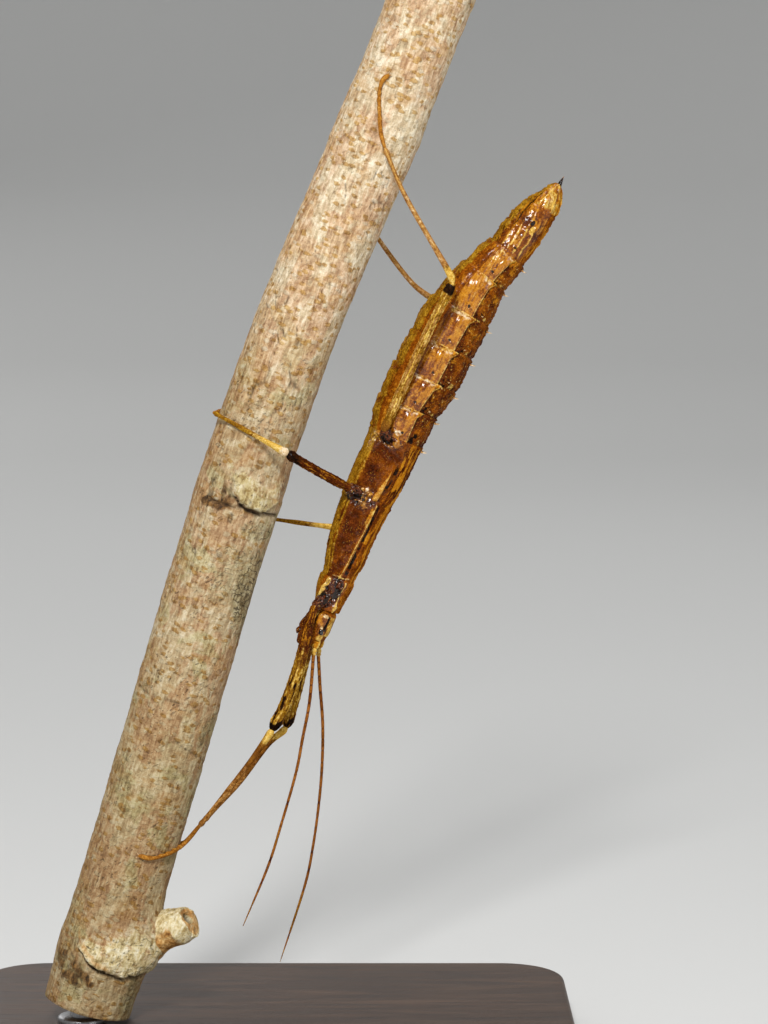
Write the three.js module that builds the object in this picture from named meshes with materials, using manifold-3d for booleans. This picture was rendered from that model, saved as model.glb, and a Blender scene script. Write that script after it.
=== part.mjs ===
// A stout wingless stick insect, head down on a leaning branch, as a still life-size museum model.
// Millimetres. +Z is up, +X is the side the branch leans to, and the insect's right side faces -Y.
// The origin is the middle of the underside of the stand's base.
import * as THREE from "three";
import { mergeVertices } from "three/addons/utils/BufferGeometryUtils.js";
import Module from "manifold-3d";

const wasm = await Module();
wasm.setup();

// ---- Driving dimensions ----

// The stand: a flat plate and a short rod in line with the branch.
const BASE_LENGTH = 84;
const BASE_WIDTH = 68;
const BASE_THICK = 6;
const BASE_CORNER = 9;
const BASE_EDGE = 0.8;
const ROD_RADIUS = 2;

// The branch: its middle line as [x, z], the radius at its two ends, and the swellings at its nodes.
const BRANCH_LINE = [
  [-24.3, 8.2],
  [-14.2, 42.3],
  [-5.75, 70.7],
  [3.6, 98.5],
  [14.6, 124.6],
  [25, 150.4],
];
const BRANCH_RADIUS_LOW = 6;
const BRANCH_RADIUS_HIGH = 5.5;
const BRANCH_NODES = [
  { height: 17, swell: 0.3, length: 4 },
  { height: 78, swell: 0.15, length: 3 },
  { height: 125, swell: 0.15, length: 4 },
];

// The broken side twig, with the hollow of its rotten pith.
const TWIG_ROOT = [-20.5, 0, 17.2];
const TWIG_END = [-9.9, -2.6, 20.4];
const TWIG_RADIUS_ROOT = 4;
const TWIG_RADIUS_END = 2.2;
const TWIG_PITH_RADIUS = 1;
const TWIG_PITH_DEPTH = 1.6;

// The body's middle line, from the neck to the tip of the abdomen. Each station has its place in
// the body's upright plane, and how deep (back to belly) and wide (side to side) the body is there.
const BODY = [
  { name: "neck", x: 8.2, z: 62.4, deep: 3.4, wide: 3.6 },
  { name: "middle of prothorax", x: 9.15, z: 64.75, deep: 4.3, wide: 4.4 },
  { name: "end of prothorax", x: 10.1, z: 66.5, deep: 4.7, wide: 4.8 },
  { name: "middle of mesothorax", x: 11.4, z: 71.6, deep: 5.8, wide: 5.5 },
  { name: "end of mesothorax", x: 13.7, z: 77.3, deep: 6.7, wide: 6.3 },
  { name: "middle of metathorax", x: 15.5, z: 81, deep: 7.2, wide: 6.9 },
  { name: "end of metathorax", x: 17.6, z: 85.6, deep: 7.4, wide: 7.2 },
  { name: "end of abdomen_02", x: 19.2, z: 89.8, deep: 8.2, wide: 7.6 },
  { name: "end of abdomen_03", x: 21.5, z: 93.7, deep: 9, wide: 8 },
  { name: "end of abdomen_04", x: 23.7, z: 98, deep: 8.8, wide: 8 },
  { name: "end of abdomen_05", x: 26.25, z: 102.5, deep: 8.3, wide: 7.7 },
  { name: "end of abdomen_06", x: 29.4, z: 107.1, deep: 6.5, wide: 6.7 },
  { name: "end of abdomen_07", x: 32.4, z: 110.2, deep: 5.7, wide: 5.7 },
  { name: "end of abdomen_08", x: 34.9, z: 113.1, deep: 5.2, wide: 5.1 },
  { name: "end of abdomen_09", x: 36.8, z: 116, deep: 4.6, wide: 4.3 },
  { name: "middle of abdomen_10", x: 38.1, z: 117.8, deep: 3.2, wide: 3.1 },
  { name: "end of abdomen_10", x: 39.2, z: 119.2, deep: 1.1, wide: 1.2 },
];
const SEGMENT_WAIST = 0.05;
const CUT = 0.12;
const CLEARANCE = 0.15;

// The head's middle line, from the neck to the front.
const HEAD = [
  { x: 8.1, z: 62.1, deep: 3.2, wide: 3.2 },
  { x: 7.1, z: 60.4, deep: 3.9, wide: 3.7 },
  { x: 6.4, z: 58.7, deep: 3.3, wide: 3.3 },
  { x: 5.95, z: 57.4, deep: 1.7, wide: 2 },
];
const EYE_PLACE = [7.6, 1.75, 59.45];
const EYE_RADIUS = 0.45;
const MOUTH_PLACE = [5.05, 0, 59.2];
const MOUTH_HALF_SIZE = [0.8, 1.05, 1.35];

// The antennae: a flat scape, then a thread.
const SCAPE_RADIUS = 0.42;
const THREAD_RADIUS_ROOT = 0.3;
const THREAD_RADIUS_TIP = 0.25;
const ANTENNAE = [
  {
    side: "right",
    scape: [[7.1, -0.8, 59.1], [7, -0.95, 58.2], [6.6, -1, 57]],
    thread: [
      [6.52, -1, 56.2],
      [6, -1.9, 50],
      [5.1, -2.6, 45.3],
      [4.3, -3.1, 41.1],
      [2.1, -4.1, 33.4],
      [0.65, -4.8, 28.8],
      [-2.83, -5.9, 20.5],
    ],
  },
  {
    side: "left",
    scape: [[7.5, 0.8, 59], [7.45, 0.95, 58], [7.2, 1, 56.8]],
    thread: [
      [7.14, 1, 55.9],
      [7.35, 1.5, 51.8],
      [7.7, 2, 46.4],
      [7.55, 2.5, 40.1],
      [7.02, 3, 34.4],
      [6.31, 3.5, 29.4],
      [5.42, 4, 24.8],
      [1.73, 4.5, 13.1],
    ],
  },
];

// The legs: where each leaves the body (hip), its first joint (trochanter), points along the
// femur, the knee, points along the tibia, the ankle, and where the foot lies on the bark.
// A place on the bark is [height, turn from the front in degrees, lift off the bark].
const LEG_SIZES = {
  front: { coxa: 0.85, trochanter: 0.56, femur: 0.74, knee: 0.62, tibia: 0.4, ankle: 0.32 },
  mid: { coxa: 0.95, trochanter: 0.6, femur: 0.57, knee: 0.54, tibia: 0.4, ankle: 0.27 },
  hind: { coxa: 0.9, trochanter: 0.6, femur: 0.55, knee: 0.52, tibia: 0.38, ankle: 0.3 },
};
const TARSUS_RADIUS = 0.27;
const FEMUR_FULL_AT = 0.25;
const FEMUR_END_SHARE = 0.9;
const FEMUR_END_LENGTH = 1;
const TIBIA_START_LENGTH = 1.2;
const TARSUS_START_LENGTH = 0.8;
const LEG_BEND = 1.1;
const LEG_BEND_SHARE = 0.45;
const LEGS = [
  {
    pair: "front",
    side: "right",
    hip: [8.6, -1.2, 64.8],
    trochanter: [6.7, -2.8, 62.9],
    femur: [[5.95, -2.9, 60.5], [5.4, -2.9, 57.9], [4.36, -2.6, 54.2], [2.95, -2.2, 50.2]],
    knee: [1, -1.8, 46.3],
    tibia: [[-2.2, -1.9, 41.7]],
    ankle: [-8.85, -2.2, 33.25],
    foot: [[32.5, 82, 0.6], [31.5, 55, 0.4], [30.9, 40, 0.4], [30.4, 25, 0.4], [30.4, 10, 0.4]],
  },
  {
    pair: "front",
    side: "left",
    hip: [8.4, 1.2, 64.5],
    trochanter: [7.3, 2.8, 62.8],
    femur: [[6.2, 2.8, 59.5], [5.5, 2.5, 56.5], [4.6, 2.2, 53], [3.65, 1.9, 49.3]],
    knee: [2.75, 1.6, 46.1],
    tibia: [[0.6, 1.7, 44.15], [-3.6, 2.1, 38.5]],
    ankle: [-8.6, 2.5, 33],
    foot: [[32, 106, 0.6], [31.2, 128, 0.4], [30.8, 148, 0.4], [30.7, 168, 0.4]],
  },
  {
    pair: "mid",
    side: "right",
    hip: [13.4, -2, 77.9],
    trochanter: [11.2, -3.7, 79.1],
    femur: [[7.5, -6.2, 81.3], [5.6, -7.5, 82.5]],
    knee: [3.4, -9, 83.95],
    tibia: [],
    ankle: [-6.5, -3.6, 89],
    foot: [[86.9, -80, 0.5], [87, -100, 0.4], [87.4, -122, 0.4], [88, -145, 0.4]],
  },
  {
    pair: "mid",
    side: "left",
    hip: [13.6, 2, 77.2],
    trochanter: [13, 4.1, 76.6],
    femur: [],
    knee: [10.3, 12.8, 72.2],
    tibia: [],
    ankle: [0.2, 7, 74],
    foot: [[75.3, 157, 0.7], [75.6, 172, 0.4], [75.6, 188, 0.4], [75.2, 205, 0.4]],
  },
  {
    pair: "hind",
    side: "right",
    hip: [16.6, -2.4, 85],
    trochanter: [16.1, -4.4, 87],
    femur: [[21.5, -6.9, 99.2]],
    knee: [25, -8, 106.3],
    tibia: [[18.5, -7.2, 118]],
    ankle: [16.1, -6.7, 123.7],
    foot: [[125.8, 5, 0.5], [127.8, -5, 0.4], [130.3, -16, 0.4], [131.8, -18, 0.4], [132.7, -13, 0.4]],
  },
  {
    pair: "hind",
    side: "left",
    hip: [16.9, 2.4, 84.6],
    trochanter: [17, 4.7, 86.2],
    femur: [],
    knee: [23.4, 14.8, 103],
    tibia: [[20, 12, 105.8]],
    ankle: [12, 6.9, 116.4],
    foot: [[118.5, 176, 0.5], [121, 178, 0.4], [123.5, 180, 0.4], [125.5, 182, 0.4]],
  },
];

// ---- How finely each piece is drawn ----

const BRANCH_SIDES = 28;
const BRANCH_STEPS = 32;
const TWIG_SIDES = 14;
const TWIG_STEPS = 2;
const PITH_SIDES = 10;
const ROD_SIDES = 20;
const PLATE_EDGE_STEPS = 2;
const PLATE_CORNER_STEPS = 5;
const BODY_SIDES = 20;
const SEGMENT_STEPS = 4;
const CLEARANCE_STEPS = 60;
const HEAD_STEPS = 9;
const BALL_SIDES = 12;
const BALL_STEPS = 8;
const SCAPE_SIDES = 8;
const SCAPE_STEPS = 4;
const THREAD_SIDES = 6;
const THREAD_STEPS = 18;
const LEG_SIDES = 8;
const COXA_STEPS = 3;
const LEG_STEPS = 8;
const NEAREST_SAMPLES = 600;
const SAME_CORNER = 1e-4;
const SAME_PLACE = 1e-5;

// ---- Finishes ----

const FINISH = {
  shell: { color: 0x8a4a1c, roughness: 0.35, metalness: 0 },
  back: { color: 0x5e3416, roughness: 0.45, metalness: 0 },
  leg: { color: 0x9a7a3c, roughness: 0.5, metalness: 0 },
  darkLeg: { color: 0x5a2c16, roughness: 0.35, metalness: 0 },
  feeler: { color: 0x7a5230, roughness: 0.6, metalness: 0 },
  eye: { color: 0x1a120c, roughness: 0.1, metalness: 0 },
  bark: { color: 0xbdb49c, roughness: 0.9, metalness: 0 },
  plate: { color: 0x8c8c88, roughness: 0.6, metalness: 0 },
  rod: { color: 0x9a9a9a, roughness: 0.35, metalness: 1 },
};

// ---- Helpers ----

const group = new THREE.Group();
const point = (place) => new THREE.Vector3(...place);
const inBodyPlane = (station) => new THREE.Vector3(station.x, 0, station.z);
const mix = THREE.MathUtils.lerp;

function addPiece(name, geometry, finish) {
  const mesh = new THREE.Mesh(geometry, new THREE.MeshStandardMaterial(FINISH[finish]));
  mesh.name = name;
  group.add(mesh);
}

// A closed mesh as a solid that can be cut and joined, and back again.
function solidOf(geometry) {
  const bare = geometry.clone();
  bare.deleteAttribute("normal");
  bare.deleteAttribute("uv");
  const merged = mergeVertices(bare, SAME_CORNER);
  return new wasm.Manifold(
    new wasm.Mesh({
      numProp: 3,
      vertProperties: merged.attributes.position.array,
      triVerts: new Uint32Array(merged.index.array),
    }),
  );
}

function geometryOf(solid) {
  const mesh = solid.getMesh();
  const geometry = new THREE.BufferGeometry();
  geometry.setAttribute("position", new THREE.BufferAttribute(mesh.vertProperties, 3));
  geometry.setIndex(new THREE.BufferAttribute(mesh.triVerts, 1));
  return geometry;
}

// A bar that follows a curve between two lengths along it. It starts as a cylinder, whose rings are
// then set across the curve. halfSize(length) gives half its size along `across` and square to it.
function bar({ path, from, to, halfSize, sides, steps, across }) {
  const geometry = new THREE.CylinderGeometry(1, 1, 1, sides, steps);
  const whole = path.getLength();
  const rings = [];
  let sideways = across.clone();
  for (let i = 0; i <= steps; i++) {
    const length = mix(from, to, i / steps);
    const along = path.getTangentAt(length / whole);
    sideways = sideways.clone().addScaledVector(along, -sideways.dot(along)).normalize();
    const square = new THREE.Vector3().crossVectors(sideways, along);
    rings.push({ centre: path.getPointAt(length / whole), sideways, square, half: halfSize(length) });
  }
  const corners = geometry.attributes.position;
  for (let i = 0; i < corners.count; i++) {
    const ring = rings[Math.round((corners.getY(i) + 0.5) * steps)];
    const placed = ring.centre
      .clone()
      .addScaledVector(ring.sideways, corners.getX(i) * ring.half[0])
      .addScaledVector(ring.square, corners.getZ(i) * ring.half[1]);
    corners.setXYZ(i, placed.x, placed.y, placed.z);
  }
  return geometry;
}

// Straight stretches between points, with a round bend at each corner.
function roundedRoute(points, bend) {
  const route = new THREE.CurvePath();
  let start = points[0];
  for (let i = 1; i < points.length - 1; i++) {
    const back = points[i - 1].clone().sub(points[i]);
    const on = points[i + 1].clone().sub(points[i]);
    const reach = Math.min(bend, back.length() * LEG_BEND_SHARE, on.length() * LEG_BEND_SHARE);
    const before = points[i].clone().add(back.setLength(reach));
    const after = points[i].clone().add(on.setLength(reach));
    route.add(new THREE.LineCurve3(start, before));
    route.add(new THREE.QuadraticBezierCurve3(before, points[i], after));
    start = after;
  }
  route.add(new THREE.LineCurve3(start, points.at(-1)));
  return route;
}

// The length along a curve at which it passes closest to a place.
function lengthNear(path, place) {
  const whole = path.getLength();
  let best = 0;
  let nearest = Infinity;
  for (let i = 0; i <= NEAREST_SAMPLES; i++) {
    const gap = path.getPointAt(i / NEAREST_SAMPLES).distanceTo(place);
    if (gap < nearest) {
      nearest = gap;
      best = (i / NEAREST_SAMPLES) * whole;
    }
  }
  return best;
}

// A value that runs evenly between stops, each a [length, value] pair.
function between(stops, length) {
  const next = stops.findIndex((stop) => stop[0] > length);
  if (next === 0) return stops[0][1];
  if (next < 0) return stops.at(-1)[1];
  const [low, high] = [stops[next - 1], stops[next]];
  return mix(low[1], high[1], (length - low[0]) / (high[0] - low[0]));
}

// The middle line of a run of stations, with its depth and width at each length.
function lineOf(stations) {
  const path = new THREE.CatmullRomCurve3(stations.map(inBodyPlane), false, "centripetal");
  const places = stations.map((station) => lengthNear(path, inBodyPlane(station)));
  const deep = stations.map((station, i) => [places[i], station.deep]);
  const wide = stations.map((station, i) => [places[i], station.wide]);
  return { path, places, deep, wide };
}

const SIDEWAYS = new THREE.Vector3(0, 1, 0);
const ACROSS_LEGS = new THREE.Vector3(0.3, 1, 0.2);

// ---- The branch and its twig ----

const branchPath = new THREE.CatmullRomCurve3(BRANCH_LINE.map(([x, z]) => new THREE.Vector3(x, 0, z)));

function branchRadius(height) {
  const low = BRANCH_LINE[0][1];
  const high = BRANCH_LINE.at(-1)[1];
  const even = mix(BRANCH_RADIUS_LOW, BRANCH_RADIUS_HIGH, (height - low) / (high - low));
  const bump = (node) => node.swell * Math.exp(-(((height - node.height) / node.length) ** 2));
  return BRANCH_NODES.map(bump).reduce((sum, each) => sum + each, even);
}

// A place above the bark, at a height on the middle line and a turn from the front.
function onBark([height, turn, lift]) {
  let [low, high] = [0, 1];
  while (high - low > SAME_PLACE) {
    const middle = (low + high) / 2;
    if (branchPath.getPointAt(middle).z < height) low = middle;
    else high = middle;
  }
  const along = branchPath.getTangentAt(low);
  const toSide = new THREE.Vector3(along.z, 0, -along.x);
  const angle = THREE.MathUtils.degToRad(turn);
  const outward = new THREE.Vector3(0, -Math.cos(angle), 0).addScaledVector(toSide, Math.sin(angle));
  return branchPath.getPointAt(low).addScaledVector(outward, branchRadius(height) + lift);
}

function makeBranch() {
  const whole = branchPath.getLength();
  const stem = bar({
    path: branchPath,
    from: 0,
    to: whole,
    halfSize: (length) => {
      const radius = branchRadius(branchPath.getPointAt(length / whole).z);
      return [radius, radius];
    },
    sides: BRANCH_SIDES,
    steps: BRANCH_STEPS,
    across: SIDEWAYS,
  });
  const twigPath = new THREE.LineCurve3(point(TWIG_ROOT), point(TWIG_END));
  const twigLength = twigPath.getLength();
  const twig = bar({
    path: twigPath,
    from: 0,
    to: twigLength,
    halfSize: (length) => {
      const radius = mix(TWIG_RADIUS_ROOT, TWIG_RADIUS_END, length / twigLength);
      return [radius, radius];
    },
    sides: TWIG_SIDES,
    steps: TWIG_STEPS,
    across: SIDEWAYS,
  });
  const pastEnd = twigPath.getPointAt(1).addScaledVector(twigPath.getTangentAt(1), TWIG_PITH_RADIUS);
  const pithPath = new THREE.LineCurve3(twigPath.getPointAt(1 - TWIG_PITH_DEPTH / twigLength), pastEnd);
  const pith = bar({
    path: pithPath,
    from: 0,
    to: pithPath.getLength(),
    halfSize: () => [TWIG_PITH_RADIUS, TWIG_PITH_RADIUS],
    sides: PITH_SIDES,
    steps: 1,
    across: SIDEWAYS,
  });
  const joined = solidOf(stem).add(solidOf(twig)).subtract(solidOf(pith));
  addPiece("perch_branch", geometryOf(joined), "bark");
}

// ---- The stand ----

function makeStand() {
  const [half, wide, corner] = [BASE_LENGTH / 2 - BASE_EDGE, BASE_WIDTH / 2 - BASE_EDGE, BASE_CORNER];
  const outline = new THREE.Shape();
  outline.absarc(half - corner, wide - corner, corner, 0, Math.PI / 2);
  outline.absarc(corner - half, wide - corner, corner, Math.PI / 2, Math.PI);
  outline.absarc(corner - half, corner - wide, corner, Math.PI, 1.5 * Math.PI);
  outline.absarc(half - corner, corner - wide, corner, 1.5 * Math.PI, 2 * Math.PI);
  const plate = new THREE.ExtrudeGeometry(outline, {
    depth: BASE_THICK - 2 * BASE_EDGE,
    bevelEnabled: true,
    bevelThickness: BASE_EDGE,
    bevelSize: BASE_EDGE,
    bevelSegments: PLATE_EDGE_STEPS,
    curveSegments: PLATE_CORNER_STEPS,
  });
  plate.translate(0, 0, BASE_EDGE);
  addPiece("stand_base", plate, "plate");

  // The rod stands in the branch's line: its foot is level on the plate, its head square to the branch.
  const along = branchPath.getTangentAt(0);
  const head = branchPath.getPointAt(0).addScaledVector(along, -CUT);
  const foot = head.clone().addScaledVector(along, -(head.z - BASE_THICK) / along.z - ROD_RADIUS);
  const rodPath = new THREE.LineCurve3(foot, head);
  const rod = bar({
    path: rodPath,
    from: 0,
    to: rodPath.getLength(),
    halfSize: () => [ROD_RADIUS, ROD_RADIUS],
    sides: ROD_SIDES,
    steps: 1,
    across: SIDEWAYS,
  });
  const floor = new THREE.BoxGeometry(BASE_LENGTH, BASE_WIDTH, 2 * BASE_THICK);
  floor.translate(0, 0, CUT);
  addPiece("stand_rod", geometryOf(solidOf(rod).subtract(solidOf(floor))), "rod");
}

// ---- The body ----

const body = lineOf(BODY);
const bodyPlace = (name) => body.places[BODY.findIndex((station) => station.name === name)];

function bodyHalf(length, more) {
  return [between(body.wide, length) / 2 + more, between(body.deep, length) / 2 + more];
}

// One ring of the body, a little narrower at both its ends.
function makeSegment(name, from, to, finish) {
  const start = from + CUT / 2;
  const end = to - CUT / 2;
  const geometry = bar({
    path: body.path,
    from: start,
    to: end,
    halfSize: (length) => {
      const place = (2 * (length - start)) / (end - start) - 1;
      return bodyHalf(length, 0).map((half) => half * (1 - SEGMENT_WAIST * place ** 4));
    },
    sides: BODY_SIDES,
    steps: SEGMENT_STEPS,
    across: SIDEWAYS,
  });
  addPiece(name, geometry, finish);
}

function makeBody() {
  let start = bodyPlace("neck");
  for (const name of ["prothorax", "mesothorax", "metathorax"]) {
    const end = bodyPlace("end of " + name);
    makeSegment(name, start, end, "back");
    start = end;
  }
  for (let number = 2; number <= 10; number++) {
    const name = "abdomen_" + String(number).padStart(2, "0");
    const end = bodyPlace("end of " + name);
    makeSegment(name, start, end, "shell");
    start = end;
  }
}

// The body in one length, a little larger, to cut what sits against it.
function bodyClearance() {
  return solidOf(
    bar({
      path: body.path,
      from: 0,
      to: body.path.getLength(),
      halfSize: (length) => bodyHalf(length, CLEARANCE),
      sides: BODY_SIDES,
      steps: CLEARANCE_STEPS,
      across: SIDEWAYS,
    }),
  );
}

// ---- The head ----

function headGeometry(more) {
  const head = lineOf(HEAD);
  const whole = head.path.getLength();
  return bar({
    path: head.path,
    from: more ? 0 : CUT,
    to: whole,
    halfSize: (length) => [between(head.wide, length) / 2 + more, between(head.deep, length) / 2 + more],
    sides: BODY_SIDES,
    steps: HEAD_STEPS,
    across: SIDEWAYS,
  });
}

function makeHead() {
  addPiece("head", headGeometry(0), "back");
  const around = solidOf(headGeometry(CLEARANCE));
  const mouth = new THREE.SphereGeometry(1, BALL_SIDES, BALL_STEPS);
  mouth.scale(...MOUTH_HALF_SIZE);
  mouth.translate(...MOUTH_PLACE);
  addPiece("mouthparts", geometryOf(solidOf(mouth).subtract(around)), "darkLeg");
  for (const [side, turn] of [["right", -1], ["left", 1]]) {
    const eye = new THREE.SphereGeometry(EYE_RADIUS, BALL_SIDES, BALL_STEPS);
    eye.translate(EYE_PLACE[0], EYE_PLACE[1] * turn, EYE_PLACE[2]);
    addPiece("eye_" + side, geometryOf(solidOf(eye).subtract(around)), "eye");
  }
  for (const antenna of ANTENNAE) makeAntenna(antenna, around);
}

function makeAntenna({ side, scape, thread }, around) {
  const points = [...scape, ...thread].map(point);
  const path = new THREE.CatmullRomCurve3(points, false, "centripetal");
  const whole = path.getLength();
  const parting = lengthNear(path, point(thread[0]));
  const scapeBar = bar({
    path,
    from: 0,
    to: parting - CUT / 2,
    halfSize: () => [SCAPE_RADIUS, SCAPE_RADIUS],
    sides: SCAPE_SIDES,
    steps: SCAPE_STEPS,
    across: SIDEWAYS,
  });
  addPiece("antenna_scape_" + side, geometryOf(solidOf(scapeBar).subtract(around)), "feeler");
  const threadBar = bar({
    path,
    from: parting + CUT / 2,
    to: whole,
    halfSize: (length) => {
      const radius = mix(THREAD_RADIUS_ROOT, THREAD_RADIUS_TIP, length / whole);
      return [radius, radius];
    },
    sides: THREAD_SIDES,
    steps: THREAD_STEPS,
    across: SIDEWAYS,
  });
  addPiece("antenna_thread_" + side, threadBar, "feeler");
}

// ---- The legs ----

function makeLeg(leg, around) {
  const foot = leg.foot.map(onBark);
  const joints = [leg.hip, leg.trochanter, ...leg.femur, leg.knee, ...leg.tibia, leg.ankle].map(point);
  const path = roundedRoute([...joints, ...foot], LEG_BEND);
  const whole = path.getLength();
  const partings = [leg.trochanter, leg.knee, leg.ankle];
  const [trochanter, knee, ankle] = partings.map((place) => lengthNear(path, point(place)));
  const size = LEG_SIZES[leg.pair];
  const radius = [
    [0, size.coxa],
    [trochanter, size.trochanter],
    [mix(trochanter, knee, FEMUR_FULL_AT), size.femur],
    [knee - FEMUR_END_LENGTH, size.femur * FEMUR_END_SHARE],
    [knee, size.knee],
    [knee + TIBIA_START_LENGTH, size.tibia],
    [ankle, size.ankle],
    [ankle + TARSUS_START_LENGTH, TARSUS_RADIUS],
  ];
  const halfSize = (length) => [between(radius, length), between(radius, length)];
  const piece = (from, to, steps) =>
    bar({ path, from, to, halfSize, sides: LEG_SIDES, steps, across: ACROSS_LEGS });
  const ending = "_" + leg.pair + "_" + leg.side;
  const coxa = solidOf(piece(0, trochanter - CUT / 2, COXA_STEPS)).subtract(around);
  addPiece("coxa" + ending, geometryOf(coxa), "darkLeg");
  addPiece("femur" + ending, piece(trochanter + CUT / 2, knee - CUT / 2, LEG_STEPS), "leg");
  addPiece("tibia" + ending, piece(knee + CUT / 2, ankle - CUT / 2, LEG_STEPS), "leg");
  addPiece("tarsus" + ending, piece(ankle + CUT / 2, whole, LEG_STEPS), "darkLeg");
}

makeBranch();
makeStand();
makeBody();
makeHead();
const bodyRoom = bodyClearance();
for (const leg of LEGS) makeLeg(leg, bodyRoom);

export default group;
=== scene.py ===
"""A stout wingless stick insect, head down on a leaning branch, on a plain display stand.

Lengths are in millimetres, in the frame of the CAD solids, and MM turns them to metres. Only those of the
studio's floor and lights are in metres.
The insect's back is towards +X and its belly towards the branch. Its right side faces -Y.
"""

import math

import bmesh
import bpy
import numpy as np
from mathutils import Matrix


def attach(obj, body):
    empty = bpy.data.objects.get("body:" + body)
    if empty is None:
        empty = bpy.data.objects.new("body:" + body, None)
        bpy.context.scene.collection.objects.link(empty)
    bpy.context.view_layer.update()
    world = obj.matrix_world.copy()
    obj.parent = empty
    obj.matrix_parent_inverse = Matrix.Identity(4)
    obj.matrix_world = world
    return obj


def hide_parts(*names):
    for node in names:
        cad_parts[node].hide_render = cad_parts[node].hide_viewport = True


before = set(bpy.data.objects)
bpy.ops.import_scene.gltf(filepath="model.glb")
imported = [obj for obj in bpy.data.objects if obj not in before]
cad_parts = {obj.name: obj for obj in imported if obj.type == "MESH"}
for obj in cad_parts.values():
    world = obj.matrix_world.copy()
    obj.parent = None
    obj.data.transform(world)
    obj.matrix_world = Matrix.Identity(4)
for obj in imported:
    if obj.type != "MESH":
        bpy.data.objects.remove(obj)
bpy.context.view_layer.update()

MM = 0.001
SPAN_SAMPLES = 60

# ---------------------------------------------------------------------------------------------
# The camera
# ---------------------------------------------------------------------------------------------

CAMERA_LENS = 105
CAMERA_SENSOR = 36
CAMERA_PLACE = (16.0, -398.478, 110.362)
CAMERA_PITCH = 85

bpy.ops.object.select_all(action="DESELECT")
bpy.ops.object.camera_add(
    location=[v * MM for v in CAMERA_PLACE], rotation=(math.radians(CAMERA_PITCH), 0, 0)
)
camera = bpy.context.object
camera.name = "camera"
camera.data.lens = CAMERA_LENS
camera.data.sensor_width = CAMERA_SENSOR
camera.data.clip_start = 0.01
camera.data.clip_end = 20
bpy.context.scene.camera = camera


# ---------------------------------------------------------------------------------------------
# Soft steps, bumps and grain, all as sums on whole arrays of spots
# ---------------------------------------------------------------------------------------------

GRAIN_CELLS = 64
grain_random = np.random.default_rng(11)
LUMP_TABLE = grain_random.random((GRAIN_CELLS, GRAIN_CELLS, GRAIN_CELLS))
SCATTER_TABLE = grain_random.random((GRAIN_CELLS, GRAIN_CELLS, 3))


def rise(value, low, high):
    """0 below low, 1 above high, and a soft step between."""
    share = np.clip((value - low) / (high - low), 0, 1)
    return share * share * (3 - 2 * share)


def hill(distance, width):
    return np.exp(-((distance / width) ** 2))


def band(value, low, high, soft):
    """1 between low and high, and soft at both edges."""
    return rise(value, low - soft, low + soft) * (1 - rise(value, high - soft, high + soft))


def lumps(a, b, c):
    """Smooth noise from -1 to 1, with lumps about one unit across."""
    place = np.stack(np.broadcast_arrays(a, b, c), axis=-1).astype(float)
    cell = np.floor(place).astype(int)
    part = place - cell
    part = part * part * (3 - 2 * part)
    total = np.zeros(place.shape[:-1])
    for corner in np.ndindex(2, 2, 2):
        share = np.prod(np.where(np.array(corner) == 1, part, 1 - part), axis=-1)
        index = (cell + np.array(corner)) % GRAIN_CELLS
        total += share * LUMP_TABLE[index[..., 0], index[..., 1], index[..., 2]]
    return total * 2 - 1


def rough(a, b, c):
    """Three sizes of lumps together."""
    total = lumps(a, b, c)
    total = total + 0.5 * lumps(2.1 * a, 2.1 * b, 2.1 * c + 9)
    total = total + 0.25 * lumps(4.3 * a, 4.3 * b, 4.3 * c + 17)
    return total / 1.75


def pebbles(a, b):
    """How far off the nearest of points scattered one unit apart is, and that point's own number."""
    cell_a = np.floor(a)
    cell_b = np.floor(b)
    nearest = np.full(np.shape(a), 9.0)
    own = np.zeros(np.shape(a))
    for step_a in (-1, 0, 1):
        for step_b in (-1, 0, 1):
            index_a = (cell_a + step_a).astype(int) % GRAIN_CELLS
            index_b = (cell_b + step_b).astype(int) % GRAIN_CELLS
            point = SCATTER_TABLE[index_a, index_b]
            distance = np.hypot(a - cell_a - step_a - point[..., 0], b - cell_b - step_b - point[..., 1])
            own = np.where(distance < nearest, point[..., 2], own)
            nearest = np.minimum(nearest, distance)
    return nearest, own


def table(value, rows):
    """A smooth curve through rows of (value, result)."""
    xs, ys = np.array(rows, float).T
    slopes = np.gradient(ys, xs)
    i = np.clip(np.searchsorted(xs, value) - 1, 0, len(xs) - 2)
    width = xs[i + 1] - xs[i]
    t = np.clip((value - xs[i]) / width, 0, 1)
    return (
        (2 * t**3 - 3 * t**2 + 1) * ys[i]
        + (t**3 - 2 * t**2 + t) * width * slopes[i]
        + (3 * t**2 - 2 * t**3) * ys[i + 1]
        + (t**3 - t**2) * width * slopes[i + 1]
    )


# ---------------------------------------------------------------------------------------------
# Lines that the pieces are laid along
# ---------------------------------------------------------------------------------------------


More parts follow.
